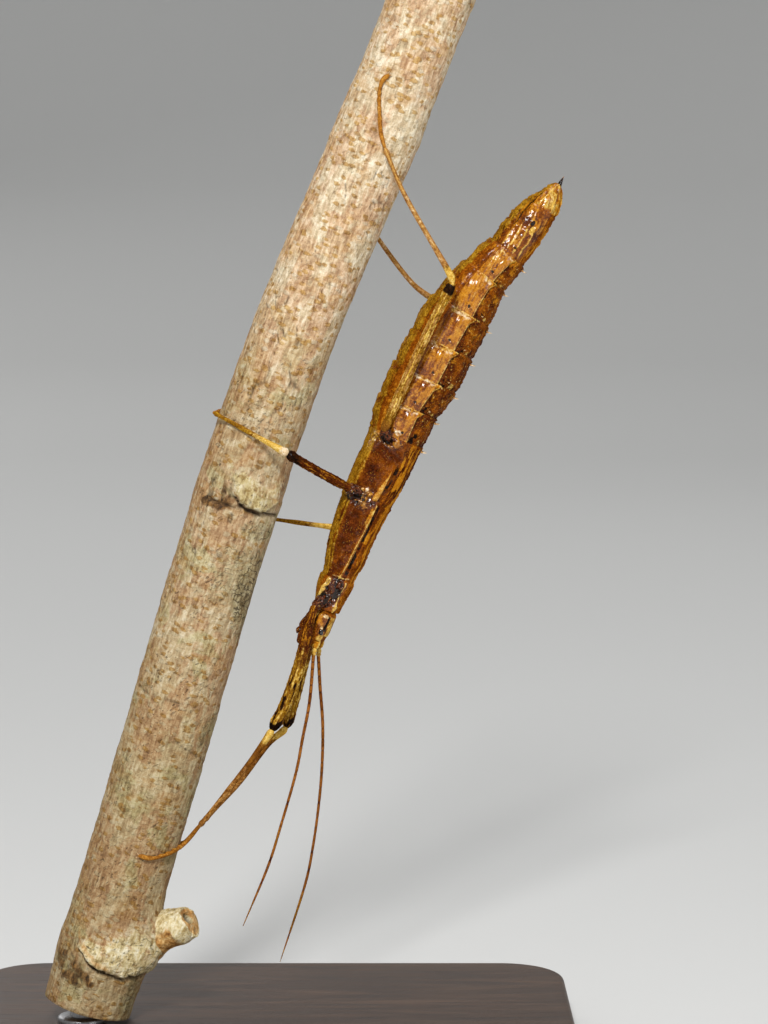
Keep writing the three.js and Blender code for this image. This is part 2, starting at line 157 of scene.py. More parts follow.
def smooth_line(knots):
    """Points on a smooth line through the knots, carrying along whatever sizes follow x, y, z in a knot."""
    knots = np.array(knots, float)
    knots = np.vstack([2 * knots[0] - knots[1], knots, 2 * knots[-1] - knots[-2]])
    spans = []
    for p0, p1, p2, p3 in zip(knots, knots[1:], knots[2:], knots[3:]):
        t1 = np.linalg.norm((p1 - p0)[:3]) ** 0.5
        t2 = t1 + np.linalg.norm((p2 - p1)[:3]) ** 0.5
        t3 = t2 + np.linalg.norm((p3 - p2)[:3]) ** 0.5
        t = np.linspace(t1, t2, SPAN_SAMPLES, endpoint=False)[:, None]
        a1 = ((t1 - t) * p0 + t * p1) / t1
        a2 = ((t2 - t) * p1 + (t - t1) * p2) / (t2 - t1)
        a3 = ((t3 - t) * p2 + (t - t2) * p3) / (t3 - t2)
        b1 = ((t2 - t) * a1 + t * a2) / t2
        b2 = ((t3 - t) * a2 + (t - t1) * a3) / (t3 - t1)
        spans.append(((t2 - t) * b1 + (t - t1) * b2) / (t2 - t1))
    return np.vstack([*spans, knots[-2:-1]])


class Line:
    """A smooth line, with the way up and the way to the side at every place along it."""

    def __init__(self, knots, up):
        samples = smooth_line(knots)
        self.at = samples[:, :3]
        self.sizes = samples[:, 3:]
        steps = np.linalg.norm(np.diff(self.at, axis=0), axis=1)
        self.reach = np.concatenate([[0], np.cumsum(steps)])
        self.length = self.reach[-1]
        self.knots = self.reach[::SPAN_SAMPLES]
        self.heading = np.gradient(self.at, self.reach, axis=0)
        self.heading /= np.linalg.norm(self.heading, axis=1)[:, None]
        self.up = np.empty_like(self.heading)
        carried = np.array(up, float)
        for i, heading in enumerate(self.heading):
            carried = carried - carried.dot(heading) * heading
            carried /= np.linalg.norm(carried)
            self.up[i] = carried
        self.side = np.cross(self.heading, self.up)

    def here(self, values, along):
        return np.stack([np.interp(along, self.reach, v) for v in values.T], axis=-1)

    def spot(self, along, up, side):
        """The place that is so far along the line, and so far up and to the side of it."""
        return (
            self.here(self.at, along)
            + np.asarray(up)[..., None] * self.here(self.up, along)
            + np.asarray(side)[..., None] * self.here(self.side, along)
        )

    def size(self, along):
        return self.here(self.sizes, along).T


# ---------------------------------------------------------------------------------------------
# Drawing a skin
# ---------------------------------------------------------------------------------------------


def tube(name, rings, sides):
    """A closed tube, one long and one in radius, cut across again and again into rings."""
    bpy.ops.object.select_all(action="DESELECT")
    bpy.ops.mesh.primitive_cylinder_add(
        vertices=sides, radius=1, depth=1, end_fill_type="TRIFAN", location=(0, 0, 0.5)
    )
    piece = bpy.context.object
    piece.name = name
    piece.data.name = name
    bpy.ops.object.transform_apply(location=True, rotation=True, scale=True)
    bpy.ops.object.mode_set(mode="EDIT")
    bpy.ops.mesh.select_mode(type="EDGE")
    for cuts in rings:
        bpy.ops.mesh.select_all(action="DESELECT")
        shape = bmesh.from_edit_mesh(piece.data)
        for edge in shape.edges:
            if abs(edge.verts[0].co.z - edge.verts[1].co.z) > 1e-6:
                edge.select = True
        bmesh.update_edit_mesh(piece.data)
        bpy.ops.mesh.subdivide(number_cuts=cuts - 1)
    bpy.ops.object.mode_set(mode="OBJECT")
    bpy.ops.object.shade_smooth()
    return piece


def corners(piece):
    flat = np.empty(len(piece.data.vertices) * 3, np.float32)
    piece.data.vertices.foreach_get("co", flat)
    return flat.reshape(-1, 3).astype(float)


def move_corners(piece, places):
    piece.data.vertices.foreach_set("co", places.astype(np.float32).ravel())
    piece.data.update()


def mark(piece, marks):
    """Keeps each mark, a number from 0 to 1 at every corner, for the materials to read."""
    for name, values in marks.items():
        layer = piece.data.attributes.new(name, "FLOAT", "POINT")
        values = np.broadcast_to(values, len(piece.data.vertices))
        layer.data.foreach_set("value", np.clip(values, 0, 1).astype(np.float32))


def round_the_tube(piece):
    """For each corner of a tube: its share of the length, its angle, and whether it is on the round wall."""
    raw = corners(piece)
    return raw[:, 2], np.arctan2(raw[:, 1], raw[:, 0]), np.hypot(raw[:, 0], raw[:, 1]) > 0.5


def skin(name, line, rings, sides, form, start=0.0, stop=None, crowd=0.0):
    """A closed skin laid along a line.

    form(along, turn) gives how far it stands up and to the side, and its marks.
    crowd packs the rings closer at the ends.
    """
    piece = tube(name, rings, sides)
    share, turn, rim = round_the_tube(piece)
    share = share - crowd * np.sin(2 * np.pi * share) / (2 * np.pi)
    stop = line.length if stop is None else stop
    along = start + (stop - start) * share
    up, side, marks = form(along, turn)
    move_corners(piece, line.spot(along, up * rim, side * rim) * MM)
    mark(piece, marks)
    return piece


def join(name, pieces):
    bpy.ops.object.select_all(action="DESELECT")
    for piece in pieces:
        piece.select_set(True)
    bpy.context.view_layer.objects.active = pieces[0]
    if len(pieces) > 1:
        bpy.ops.object.join()
    pieces[0].name = name
    pieces[0].data.name = name
    return pieces[0]


def hand_in(piece, finish, slot, *nodes):
    """The piece gets its finish, rides on the model's only body, and stands for its CAD nodes."""
    piece.data.materials.clear()
    piece.data.materials.append(finish)
    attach(piece, "root")
    if nodes:
        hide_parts(*nodes)
    return piece


# ---------------------------------------------------------------------------------------------
# Finishes
# ---------------------------------------------------------------------------------------------


def tint(red, green, blue):
    """A colour as a screen shows it, 0 to 255, turned to the renderer's numbers."""
    linear = [((v / 255 + 0.055) / 1.055) ** 2.4 if v > 10 else v / 3295 for v in (red, green, blue)]
    return (*linear, 1)


def grey(level):
    return (level, level, level, 1)


# How much of a bump's depth still shows in a clear coat that lies over it.
COAT_SHARE = 0.2


class Finish:
    """A material being mixed from nodes."""

    def __init__(self, name):
        self.material = bpy.data.materials.new(name)
        self.material.use_nodes = True
        self.nodes = self.material.node_tree.nodes
        self.links = self.material.node_tree.links
        self.shader = self.nodes["Principled BSDF"]
        where = self.nodes.new("ShaderNodeTexCoord")
        millimetres = self.nodes.new("ShaderNodeVectorMath")
        millimetres.operation = "SCALE"
        millimetres.inputs["Scale"].default_value = 1000
        self.links.new(where.outputs["Object"], millimetres.inputs[0])
        self.place = millimetres.outputs[0]

    def put(self, value, socket):
        if isinstance(value, bpy.types.NodeSocket):
            self.links.new(value, socket)
        else:
            socket.default_value = value

    def mark(self, name):
        node = self.nodes.new("ShaderNodeAttribute")
        node.attribute_name = name
        return node.outputs["Fac"]

    def work_out(self, operation, *values):
        node = self.nodes.new("ShaderNodeMath")
        node.operation = operation
        for value, socket in zip(values, node.inputs):
            self.put(value, socket)
        return node.outputs[0]

    def plus(self, *values):
        return self.work_out("ADD", *values)

    def minus(self, *values):
        return self.work_out("SUBTRACT", *values)

    def times(self, *values):
        return self.work_out("MULTIPLY", *values)

    def larger(self, *values):
        return self.work_out("MAXIMUM", *values)

    def blend(self, *weighed):
        """The total of (value, weight) pairs, each value times its weight."""
        total, *others = [self.times(value, weight) for value, weight in weighed]
        for other in others:
            total = self.plus(total, other)
        return total

    def turned(self, kind, turn, scale):
        node = self.nodes.new("ShaderNodeMapping")
        node.vector_type = kind
        self.links.new(self.place, node.inputs["Vector"])
        node.inputs["Rotation"].default_value = [math.radians(v) for v in turn]
        node.inputs["Scale"].default_value = scale
        return node.outputs[0]

    def squeezed(self, scale, turn=(0, 0, 0)):
        """The place turned, and the pattern squeezed by that much each way."""
        return self.turned("POINT", turn, scale)

    def lying(self, spread, turn):
        """The place turned to lie along something, with the pattern spread out that much each way."""
        return self.turned("TEXTURE", turn, spread)

    def noise(self, size, detail=3.0, roughness=0.55, place=None, warp=0.0):
        node = self.nodes.new("ShaderNodeTexNoise")
        self.links.new(place or self.place, node.inputs["Vector"])
        node.inputs["Scale"].default_value = 1 / size
        node.inputs["Detail"].default_value = detail
        node.inputs["Roughness"].default_value = roughness
        node.inputs["Distortion"].default_value = warp
        return node.outputs["Fac"]

    def cells(self, size, place=None, feature="F1", reading="Distance"):
        node = self.nodes.new("ShaderNodeTexVoronoi")
        node.feature = feature
        self.links.new(place or self.place, node.inputs["Vector"])
        node.inputs["Scale"].default_value = 1 / size
        return node.outputs[reading]

    def step(self, value, low, high):
        node = self.nodes.new("ShaderNodeMapRange")
        node.interpolation_type = "SMOOTHSTEP"
        self.put(value, node.inputs["Value"])
        node.inputs["From Min"].default_value = low
        node.inputs["From Max"].default_value = high
        return node.outputs["Result"]

    def ramp(self, value, *stops):
        node = self.nodes.new("ShaderNodeValToRGB")
        self.put(value, node.inputs["Fac"])
        marks = node.color_ramp.elements
        while len(marks) < len(stops):
            marks.new(0.5)
        for element, (place, colour) in zip(marks, stops):
            element.position = place
            element.color = colour
        return node.outputs["Color"]

    def mix(self, share, under, over, blend="MIX"):
        node = self.nodes.new("ShaderNodeMix")
        node.data_type = "RGBA"
        node.blend_type = blend
        self.put(share, node.inputs["Factor"])
        self.put(under, node.inputs[6])
        self.put(over, node.inputs[7])
        return node.outputs[2]

    def laid(self, mark_name, ragged, low, high, faint):
        """How much of a mark shows: ragged at its edge, and nothing of it where it is fainter than that."""
        strength = self.mark(mark_name)
        share = self.step(self.plus(strength, ragged), low, high)
        return self.times(share, self.step(strength, 0.0, faint))

    def done(self, colour, roughness, height, depth, **sockets):
        """depth is the bump's real height in millimetres. A clear coat evens most of it out."""
        self.put(colour, self.shader.inputs["Base Color"])
        self.put(roughness, self.shader.inputs["Roughness"])
        for normal, deep in (("Normal", depth), ("Coat Normal", depth * COAT_SHARE)):
            bump = self.nodes.new("ShaderNodeBump")
            bump.inputs["Distance"].default_value = deep * MM
            bump.inputs["Strength"].default_value = 1
            self.links.new(height, bump.inputs["Height"])
            self.links.new(bump.outputs["Normal"], self.shader.inputs[normal])
        for name, value in sockets.items():
            self.shader.inputs[name.replace("_", " ")].default_value = value
        return self.material


# Each tint is three colours: for the dark, the middle and the light of its mottling.
RUST = (tint(66, 27, 4), tint(128, 64, 8), tint(178, 104, 22))
HEAD_RUST = (tint(72, 31, 5), tint(130, 68, 11), tint(180, 108, 27))
MEMBRANE = (tint(20, 10, 5), tint(58, 28, 12), tint(110, 62, 30))
LEG_BROWN = (tint(64, 33, 8), tint(122, 74, 22), tint(168, 116, 44))
FOOT_TAN = (tint(112, 64, 20), tint(160, 102, 36), tint(196, 142, 66))
FEELER_BROWN = (tint(80, 42, 14), tint(136, 80, 28), tint(176, 116, 52))
CHESTNUT = (tint(34, 13, 4), tint(78, 32, 8), tint(122, 60, 18))
AMBER = (tint(152, 86, 10), tint(186, 118, 20), tint(212, 150, 44))
OLIVE = (tint(82, 50, 7), tint(144, 98, 16), tint(196, 152, 44))
TAN = (tint(118, 72, 30), tint(172, 120, 60), tint(206, 162, 100))
CREAM = (tint(172, 120, 34), tint(216, 172, 72), tint(240, 212, 130))
PALE = (tint(190, 150, 104), tint(226, 200, 158), tint(246, 234, 214))
SOOT = (tint(7, 4, 3), tint(20, 11, 6), tint(54, 30, 13))

# The marks that are laid over a ground, from the first to the last.
LAID_TINTS = {"chestnut": CHESTNUT, "amber": AMBER, "olive": OLIVE, "tan": TAN, "cream": CREAM, "pale": PALE}

# How far the insect and the branch lean over, as turns about x, y and z in degrees.
BODY_LEAN = (0, 18, 0)
BRANCH_LEAN = (0, 19, 0)


def cuticle(name, ground, gloss=0.3, coat=0.1, wet_coat=0.0):
    """Horny skin: a mottled ground with each mark laid over it, and a thicker coat where it is marked wet."""
    mix = Finish(name)
    broad = mix.noise(1.5, 4, 0.6)
    fine = mix.noise(0.36, 4, 0.65)
    grain = mix.noise(0.14, 2, 0.5)
    uneven = mix.blend((broad, 0.3), (fine, 0.4), (grain, 0.3))
    ragged = mix.times(mix.minus(fine, 0.5), 0.9)

    def mottled(tints):
        return mix.ramp(uneven, *zip((0.38, 0.5, 0.62), tints))

    colour = mottled(ground)
    for mark_name, tints in LAID_TINTS.items():
        colour = mix.mix(mix.laid(mark_name, ragged, 0.2, 0.75, 0.14), colour, mottled(tints))
    dots = mix.times(mix.step(mix.cells(0.3), 0.34, 0.18), mix.mark("pips"))
    colour = mix.mix(mix.times(dots, 0.6), colour, AMBER[2])
    lengthwise = mix.squeezed((1.7, 1.7, 0.8), BODY_LEAN)
    specks = mix.step(mix.noise(0.34, 3, 0.6, place=lengthwise), 0.57, 0.64)
    specks = mix.times(specks, mix.mark("fleck"))
    colour = mix.mix(mix.times(specks, 0.75), colour, SOOT[2])
    colour = mix.mix(mix.laid("soot", ragged, 0.25, 0.8, 0.14), colour, mottled(SOOT))
    sheen = mix.plus(gloss - 0.12, mix.times(fine, 0.3))
    height = mix.blend((fine, 0.6), (grain, 0.4), (dots, 0.5))
    if wet_coat:
        mix.put(mix.plus(coat, mix.times(mix.mark("wet"), wet_coat)), mix.shader.inputs["Coat Weight"])
    return mix.done(
        colour, sheen, height, 0.08,
        Coat_Weight=coat, Coat_Roughness=0.15, Specular_IOR_Level=0.0, Specular_Tint=(1, 0.82, 0.6, 1),
    )


body_finish = cuticle("body_cuticle", RUST, gloss=0.24, coat=0.03, wet_coat=0.9)
head_finish = cuticle("head_cuticle", HEAD_RUST, gloss=0.22, coat=0.06, wet_coat=0.85)
joint_finish = cuticle("joint_membrane", MEMBRANE, gloss=0.16, coat=0.55)
leg_finish = cuticle("leg_cuticle", LEG_BROWN, gloss=0.34, coat=0.06)
foot_finish = cuticle("foot_cuticle", FOOT_TAN, gloss=0.42, coat=0.02)
feeler_finish = cuticle("feeler_cuticle", FEELER_BROWN, gloss=0.42, coat=0.02)


def eye_glass():
    mix = Finish("eye_lens")
    facets = mix.cells(0.05, feature="DISTANCE_TO_EDGE")
    colour = mix.ramp(mix.noise(0.4, 2), (0.35, tint(10, 8, 7)), (0.7, tint(34, 22, 14)))
    return mix.done(
        colour, 0.12, mix.step(facets, 0.0, 0.06), 0.004, Coat_Weight=1.0, Coat_Roughness=0.04
    )


def bark():
    mix = Finish("bark")
    lengthwise = mix.lying((1.0, 1.0, 2.0), BRANCH_LEAN)
    crosswise = mix.lying((1.5, 1.5, 0.75), BRANCH_LEAN)
    oblique = mix.lying((0.7, 0.7, 1.8), (0, 58, 0))
    patch = mix.noise(4.6, 4, 0.6, place=lengthwise, warp=0.5)
    middle = mix.noise(1.5, 4, 0.62, place=oblique, warp=0.3)
    fine = mix.noise(0.6, 4, 0.66, place=crosswise)
    grain = mix.noise(0.22, 3, 0.6)
    streak = mix.noise(0.7, 3, 0.6, place=mix.lying((0.6, 0.6, 2.6), BRANCH_LEAN), warp=0.3)
    sand = mix.blend((middle, 0.26), (fine, 0.2), (grain, 0.12), (streak, 0.42))
    ragged = mix.times(mix.minus(fine, 0.5), 0.9)

    def grainy(dark, mid, light):
        return mix.ramp(sand, (0.41, tint(*dark)), (0.5, tint(*mid)), (0.59, tint(*light)))

    def laid(mark_name, low=0.3, high=0.8):
        return mix.laid(mark_name, ragged, low, high, 0.2)

    cream_grey = grainy((182, 158, 124), (218, 196, 160), (248, 234, 208))
    rosy = grainy((164, 126, 92), (206, 170, 132), (236, 210, 176))
    colour = mix.mix(mix.step(patch, 0.46, 0.54), rosy, cream_grey)
    lichen = mix.times(mix.step(mix.noise(6.0, 4, 0.6, warp=0.6), 0.53, 0.61), mix.mark("lichen"))
    wash_noise = mix.noise(3.1, 4, 0.62, place=crosswise, warp=0.5)
    wash = mix.step(mix.plus(wash_noise, mix.times(mix.mark("ochre"), 0.2)), 0.5, 0.68)

    # Short crosswise scales: some ochre with a dark lower edge, some bleached.
    flake_place = mix.lying((1.25, 1.25, 0.7), (0, 27, 0))
    flake_own = mix.plus(mix.cells(1.0, flake_place, reading="Color"), 0.0)
    flake = mix.step(mix.plus(mix.cells(1.0, flake_place), ragged), 0.5, 0.3)
    ochre_flake = mix.times(flake, mix.step(flake_own, 0.52, 0.58))
    bleached_flake = mix.times(flake, mix.step(flake_own, 0.36, 0.31))

    # Each layer: where it shows, how strongly, and its dark, middle and light.
    for share, strength, dark, mid, light in (
        (lichen, 0.75, (138, 126, 88), (196, 184, 138), (230, 222, 184)),
        (wash, 0.5, (148, 102, 54), (194, 148, 92), (224, 188, 134)),
        (ochre_flake, 0.8, (132, 92, 40), (184, 140, 72), (210, 170, 100)),
        (bleached_flake, 0.5, (196, 180, 146), (228, 216, 188), (246, 238, 216)),
        (laid("weathered", 0.35), 0.65, (104, 94, 62), (172, 162, 122), (216, 208, 172)),
        (laid("callus"), 0.92, (172, 146, 90), (228, 210, 160), (250, 242, 214)),
        (laid("brown"), 0.9, (48, 32, 18), (122, 84, 44), (184, 140, 86)),
        (laid("honey"), 0.85, (128, 72, 18), (194, 132, 52), (226, 180, 104)),
    ):
        colour = mix.mix(mix.times(share, strength), colour, grainy(dark, mid, light))
    # Painted shade: the bark is darkened towards the bottom of the branch, and along the low twig except at
    # its broken end.
    colour = mix.mix(mix.mark("painted_shade_low_down"), colour, tint(206, 200, 182), blend="MULTIPLY")

    # Thin dark cracks that wander, pits, and dark specks.
    wander = mix.noise(1.7, 2, 0.5, place=crosswise, warp=0.4)
    wander = mix.work_out("ABSOLUTE", mix.minus(wander, 0.5))
    net = mix.times(mix.step(wander, 0.022, 0.008), laid("weathered", 0.45))
    flecks = mix.step(mix.noise(0.42, 3, 0.6, place=oblique), 0.6, 0.66)
    flecks = mix.times(flecks, mix.step(mix.noise(4.0, 3), 0.42, 0.56))
    flecks = mix.times(flecks, mix.plus(mix.times(mix.mark("lichen"), 0.7), 0.35))
    pits = mix.times(mix.step(mix.cells(0.42), 0.14, 0.07), mix.step(mix.noise(2.6, 3), 0.5, 0.6))
    dark = mix.larger(mix.times(net, 0.7), mix.times(flecks, 0.55))
    dark = mix.larger(mix.larger(dark, mix.times(pits, 0.8)), mix.mark("crack"))
    colour = mix.mix(dark, colour, tint(50, 36, 22))

    # The sawn ends show the wood's rings.
    rings = mix.work_out("SINE", mix.times(mix.mark("wood_ring"), 60))
    end_grain = mix.plus(mix.times(rings, 0.18), fine)
    end_grain = mix.ramp(end_grain, (0.3, tint(176, 134, 84)), (0.75, tint(226, 196, 150)))
    colour = mix.mix(mix.mark("cut_wood"), colour, end_grain)
    flakes = mix.larger(ochre_flake, bleached_flake)
    height = mix.blend((middle, 1.0), (fine, 0.8), (grain, 0.35), (flakes, 0.3))
    height = mix.minus(height, mix.times(dark, 0.5))
    dull = mix.ramp(fine, (0.3, grey(0.66)), (0.7, grey(0.9)))
    return mix.done(colour, dull, height, 0.26, Specular_IOR_Level=0.25)


bark_finish = bark()


def stained_wood():
    mix = Finish("stained_wood")
    long_grain = mix.squeezed((0.08, 1.0, 1.0))
    figure = mix.noise(2.4, 5, 0.6, place=long_grain, warp=1.2)
    pores = mix.step(mix.noise(0.5, 2, 0.5, place=mix.squeezed((0.05, 1.0, 1.0))), 0.62, 0.7)
    colour = mix.ramp(figure, (0.3, tint(46, 34, 27)), (0.5, tint(70, 52, 40)), (0.72, tint(92, 70, 54)))
    colour = mix.mix(mix.times(pores, 0.6), colour, tint(28, 20, 16))
    return mix.done(
        colour, mix.ramp(figure, (0.3, grey(0.42)), (0.7, grey(0.55))),
        mix.minus(figure, pores), 0.05, Coat_Weight=0.15, Coat_Roughness=0.3
    )


def brushed_steel():
    mix = Finish("brushed_steel")
    brushing = mix.noise(0.25, 3, 0.6, place=mix.squeezed((1, 1, 0.04), (0, -16, 0)))
    colour = mix.ramp(brushing, (0.3, tint(150, 150, 152)), (0.7, tint(186, 186, 188)))
    return mix.done(
        colour, mix.ramp(brushing, (0.3, grey(0.26)), (0.7, grey(0.4))), brushing, 0.01, Metallic=1.0
    )


def pale_floor():
    mix = Finish("pale_floor")
    colour = mix.ramp(mix.noise(900, 1), (0.3, tint(217, 217, 215)), (0.7, tint(221, 221, 219)))
    return mix.done(colour, 0.8, mix.noise(1.5, 3), 0.02)


# ---------------------------------------------------------------------------------------------
# The body: thorax and abdomen in one skin
# ---------------------------------------------------------------------------------------------

# x, y, z, then how deep (back to belly) and how wide the body is: from the neck to the tip.
BODY_KNOTS = [
    (8.2, 0, 62.4, 3.4, 3.6),
    (9.15, 0, 64.75, 4.3, 4.4),
    (10.1, 0, 66.5, 4.7, 4.8),
    (11.4, 0, 71.6, 5.8, 5.5),
    (13.7, 0, 77.3, 6.7, 6.3),
    (15.5, 0, 81, 7.2, 6.9),
    (17.6, 0, 85.6, 7.4, 7.2),
    (19.2, 0, 89.8, 8.2, 7.6),
    (21.5, 0, 93.7, 9, 8),
    (23.7, 0, 98, 8.8, 8),
    (26.25, 0, 102.5, 8.3, 7.7),
    (29.4, 0, 107.1, 6.5, 6.7),
    (32.4, 0, 110.2, 5.7, 5.7),
    (34.9, 0, 113.1, 5.2, 5.1),
    (36.8, 0, 116, 4.6, 4.3),
    (38.1, 0, 117.8, 3.2, 3.1),
    (39.2, 0, 119.2, 1.1, 1.2),
]
BODY_RING_KNOTS = [2, 4, 6, 7, 8, 9, 10, 11, 12, 13, 14, 16]
body_line = Line(BODY_KNOTS, up=(1, 0, 0))
RING_ENDS = body_line.knots[BODY_RING_KNOTS]
RING_STARTS = np.concatenate([[0], RING_ENDS[:-1]])
PROTHORAX_END, MESOTHORAX_END, THORAX_END = RING_ENDS[:3]
SEVENTH_END, EIGHTH_END, NINTH_END = RING_ENDS[8:11]
BODY_SLOT_NODES = ["prothorax", "mesothorax", "metathorax"] + [f"abdomen_{n:02d}" for n in range(2, 11)]

# Angles round the body, in degrees from the middle of the back.
SIDE_RIDGE = 67
SPIRACLE_ANGLE = 83
PLEURA_TOP = 91
PLEURA_FOOT = 112
BELLY_EDGE = 141

# How far behind the front of its ring each breathing hole is.
SPIRACLE_BEHIND = 1.0

# Lines that wander round the body: rows of how far along, and at what angle.
PROTHORAX_RIDGE = [(0.6, 59), (1.4, 60), (4.8, 66)]
PROTHORAX_STRIP = [(0.4, 144), (3.5, 123)]
MESOTHORAX_RIDGE = [(4.6, 97), (5.5, 90), (8, 76), (10.6, 67), (16, 64)]
WEDGE_RIDGE = [(16.2, 74), (21.2, 68.5)]


class Places:
    """Where the spots of a skin lie: how far along it, at what angle from the back, and its radius there."""

    def __init__(self, along, degrees, reach):
        self.along = along
        self.degrees = degrees
        self.reach = reach

    def off(self, angle):
        """How far round the skin a spot is from the line at that angle, below it if more than 0."""
        return np.radians(self.degrees - angle) * self.reach

    def patch(self, at, angle, long, wide):
        """1 in the middle of an oval patch that is so long and so wide, 0 outside."""
        return 1 - rise(np.hypot((self.along - at) / long, self.off(angle) / wide), 0.55, 1.05)


class BodyShell(Places):
    """The places of the body's skin, with the height and the marks that its zones lay on it one by one."""

    def __init__(self, along, turn):
        self.deep, self.wide = body_line.size(along)
        super().__init__(along, np.degrees(np.abs(turn)), (self.deep + self.wide) / 4)
        self.arc = np.radians(self.degrees) * self.reach
        self.signed_arc = turn * self.reach

        # Unevenness that several zones share. Colours end raggedly: their angle has some of it added.
        self.wobble = rough(along * 0.9, self.signed_arc * 0.9, 3.0)
        self.fine = rough(along * 3.1, self.signed_arc * 3.1, 8.0)
        self.fibres = rough(along * 0.8, self.signed_arc * 5.0, 33.0)
        self.blotch = rough(along * 0.75, self.signed_arc * 0.9, 51.0)
        self.pebble_far, self.pebble_own = pebbles(along / 0.34, self.signed_arc / 0.34)
        self.ragged = Places(along, self.degrees + 1.6 * self.wobble + 1.4 * self.fine, self.reach)

        # Along the body: the ring, and how far its two ends are.
        self.ring = np.clip(np.searchsorted(RING_ENDS, along), 0, len(RING_ENDS) - 1)
        self.behind = along - RING_STARTS[self.ring]
        self.before = RING_ENDS[self.ring] - along
        self.share = self.behind / (self.behind + self.before)
        self.prothorax = 1 - rise(along, PROTHORAX_END - 0.1, PROTHORAX_END + 0.1)
        self.mesothorax = band(along, PROTHORAX_END, MESOTHORAX_END, 0.1)
        self.metathorax = band(along, MESOTHORAX_END, THORAX_END, 0.1)
        self.abdomen = rise(along, THORAX_END - 0.05, THORAX_END + 0.05)
        self.tail = rise(along, SEVENTH_END - 0.6, SEVENTH_END + 0.6)
        self.rings = self.abdomen * (1 - self.tail)
        self.later = rise(self.ring, 6, 7) * self.rings
        self.tenth = rise(along, NINTH_END, NINTH_END + 0.2)
        self.last = rise(along, RING_ENDS[-1] - 0.9, RING_ENDS[-1])

        # Round the body: the plate of the back, and the flank with its smooth band and its folded membrane.
        self.ridge_angle = SIDE_RIDGE + 2 * np.sin(np.pi * self.share) - 8 * rise(self.share, 0.6, 1.0) ** 2
        self.pleura_top = PLEURA_TOP - 7 * (self.ring == 7) - 3 * (self.ring == 8) + 2 * self.wobble
        self.tergum = (1 - rise(self.degrees, self.ridge_angle - 4, self.ridge_angle - 1)) * self.rings
        self.flank = band(self.degrees, SIDE_RIDGE, PLEURA_FOOT, 3) * self.rings
        self.pleura = band(self.degrees, self.pleura_top, PLEURA_FOOT, 2.5) * self.rings
        self.height = 0.0
        self.marks = {}

    def colour(self, **marks):
        for name, strength in marks.items():
            self.marks[name] = self.marks.get(name, 0.0) + strength


def lay_rings(shell):
    """Every ring is a barrel with a raised rear edge that laps over a groove."""
    before, behind, ring, rings, tail = shell.before, shell.behind, shell.ring, shell.rings, shell.tail
    barrel = np.sin(np.pi * shell.share)
    lip_size = 0.15 * rings + 0.1 * tail * (1 - shell.last) + 0.12 * (1 - shell.abdomen)
    joint = np.where(ring == len(RING_ENDS) - 1, behind, np.minimum(behind, before))
    pillow = np.sin(np.pi * shell.share**1.7) * rise(before, 0.05, 0.3)
    shell.height += 0.13 * barrel * rings + 0.06 * barrel * tail
    shell.height += lip_size * rise(before, 1.0, 0.18) * (1 - shell.last) * (1 - 0.9 * shell.flank)
    shell.height += 0.3 * pillow * shell.flank
    shell.height += 0.1 * pillow * rings * rise(shell.degrees, PLEURA_FOOT + 4, 130)
    shell.height += 0.2 * pillow * rings * hill(shell.off(84), 0.5) * (ring < 7)
    shell.height -= 0.9 * lip_size * hill(joint, 0.11) * (ring < 12) * (joint < 0.6)
    shell.height -= 0.05 * hill(behind - 0.3, 0.3) * rings

    flank = band(shell.ragged.degrees, 66, 108, 3)
    joint_line = hill(before - 0.03 - 0.05 * shell.wobble, 0.08 + 0.05 * np.abs(shell.fine))
    joint_line = joint_line * band(shell.ragged.degrees, 44, 108, 5) * (rings + 0.6 * tail) * (1 - shell.last)
    joint_line = joint_line * (0.75 + 0.9 * shell.fine)
    # The swollen rear lip is laid paler cream, partly its own colour and partly painted highlight; the pale
    # laid on it is a painted highlight.
    swollen = hill(before - 0.4, 0.4) * flank * rings * (0.7 + 0.5 * shell.wobble)
    lip_painted_highlight = swollen * hill(before - 0.42, 0.36) * rise(shell.fine, -0.5, 0.1)
    shell.colour(
        cream=0.7 * joint_line + 0.6 * swollen,
        pale=0.85 * lip_painted_highlight + 0.25 * joint_line * flank,
        soot=0.45 * hill(behind - 0.12, 0.11) * rings * (1 - 0.6 * flank) * (0.7 + 0.8 * shell.wobble),
        wet=shell.flank,
    )


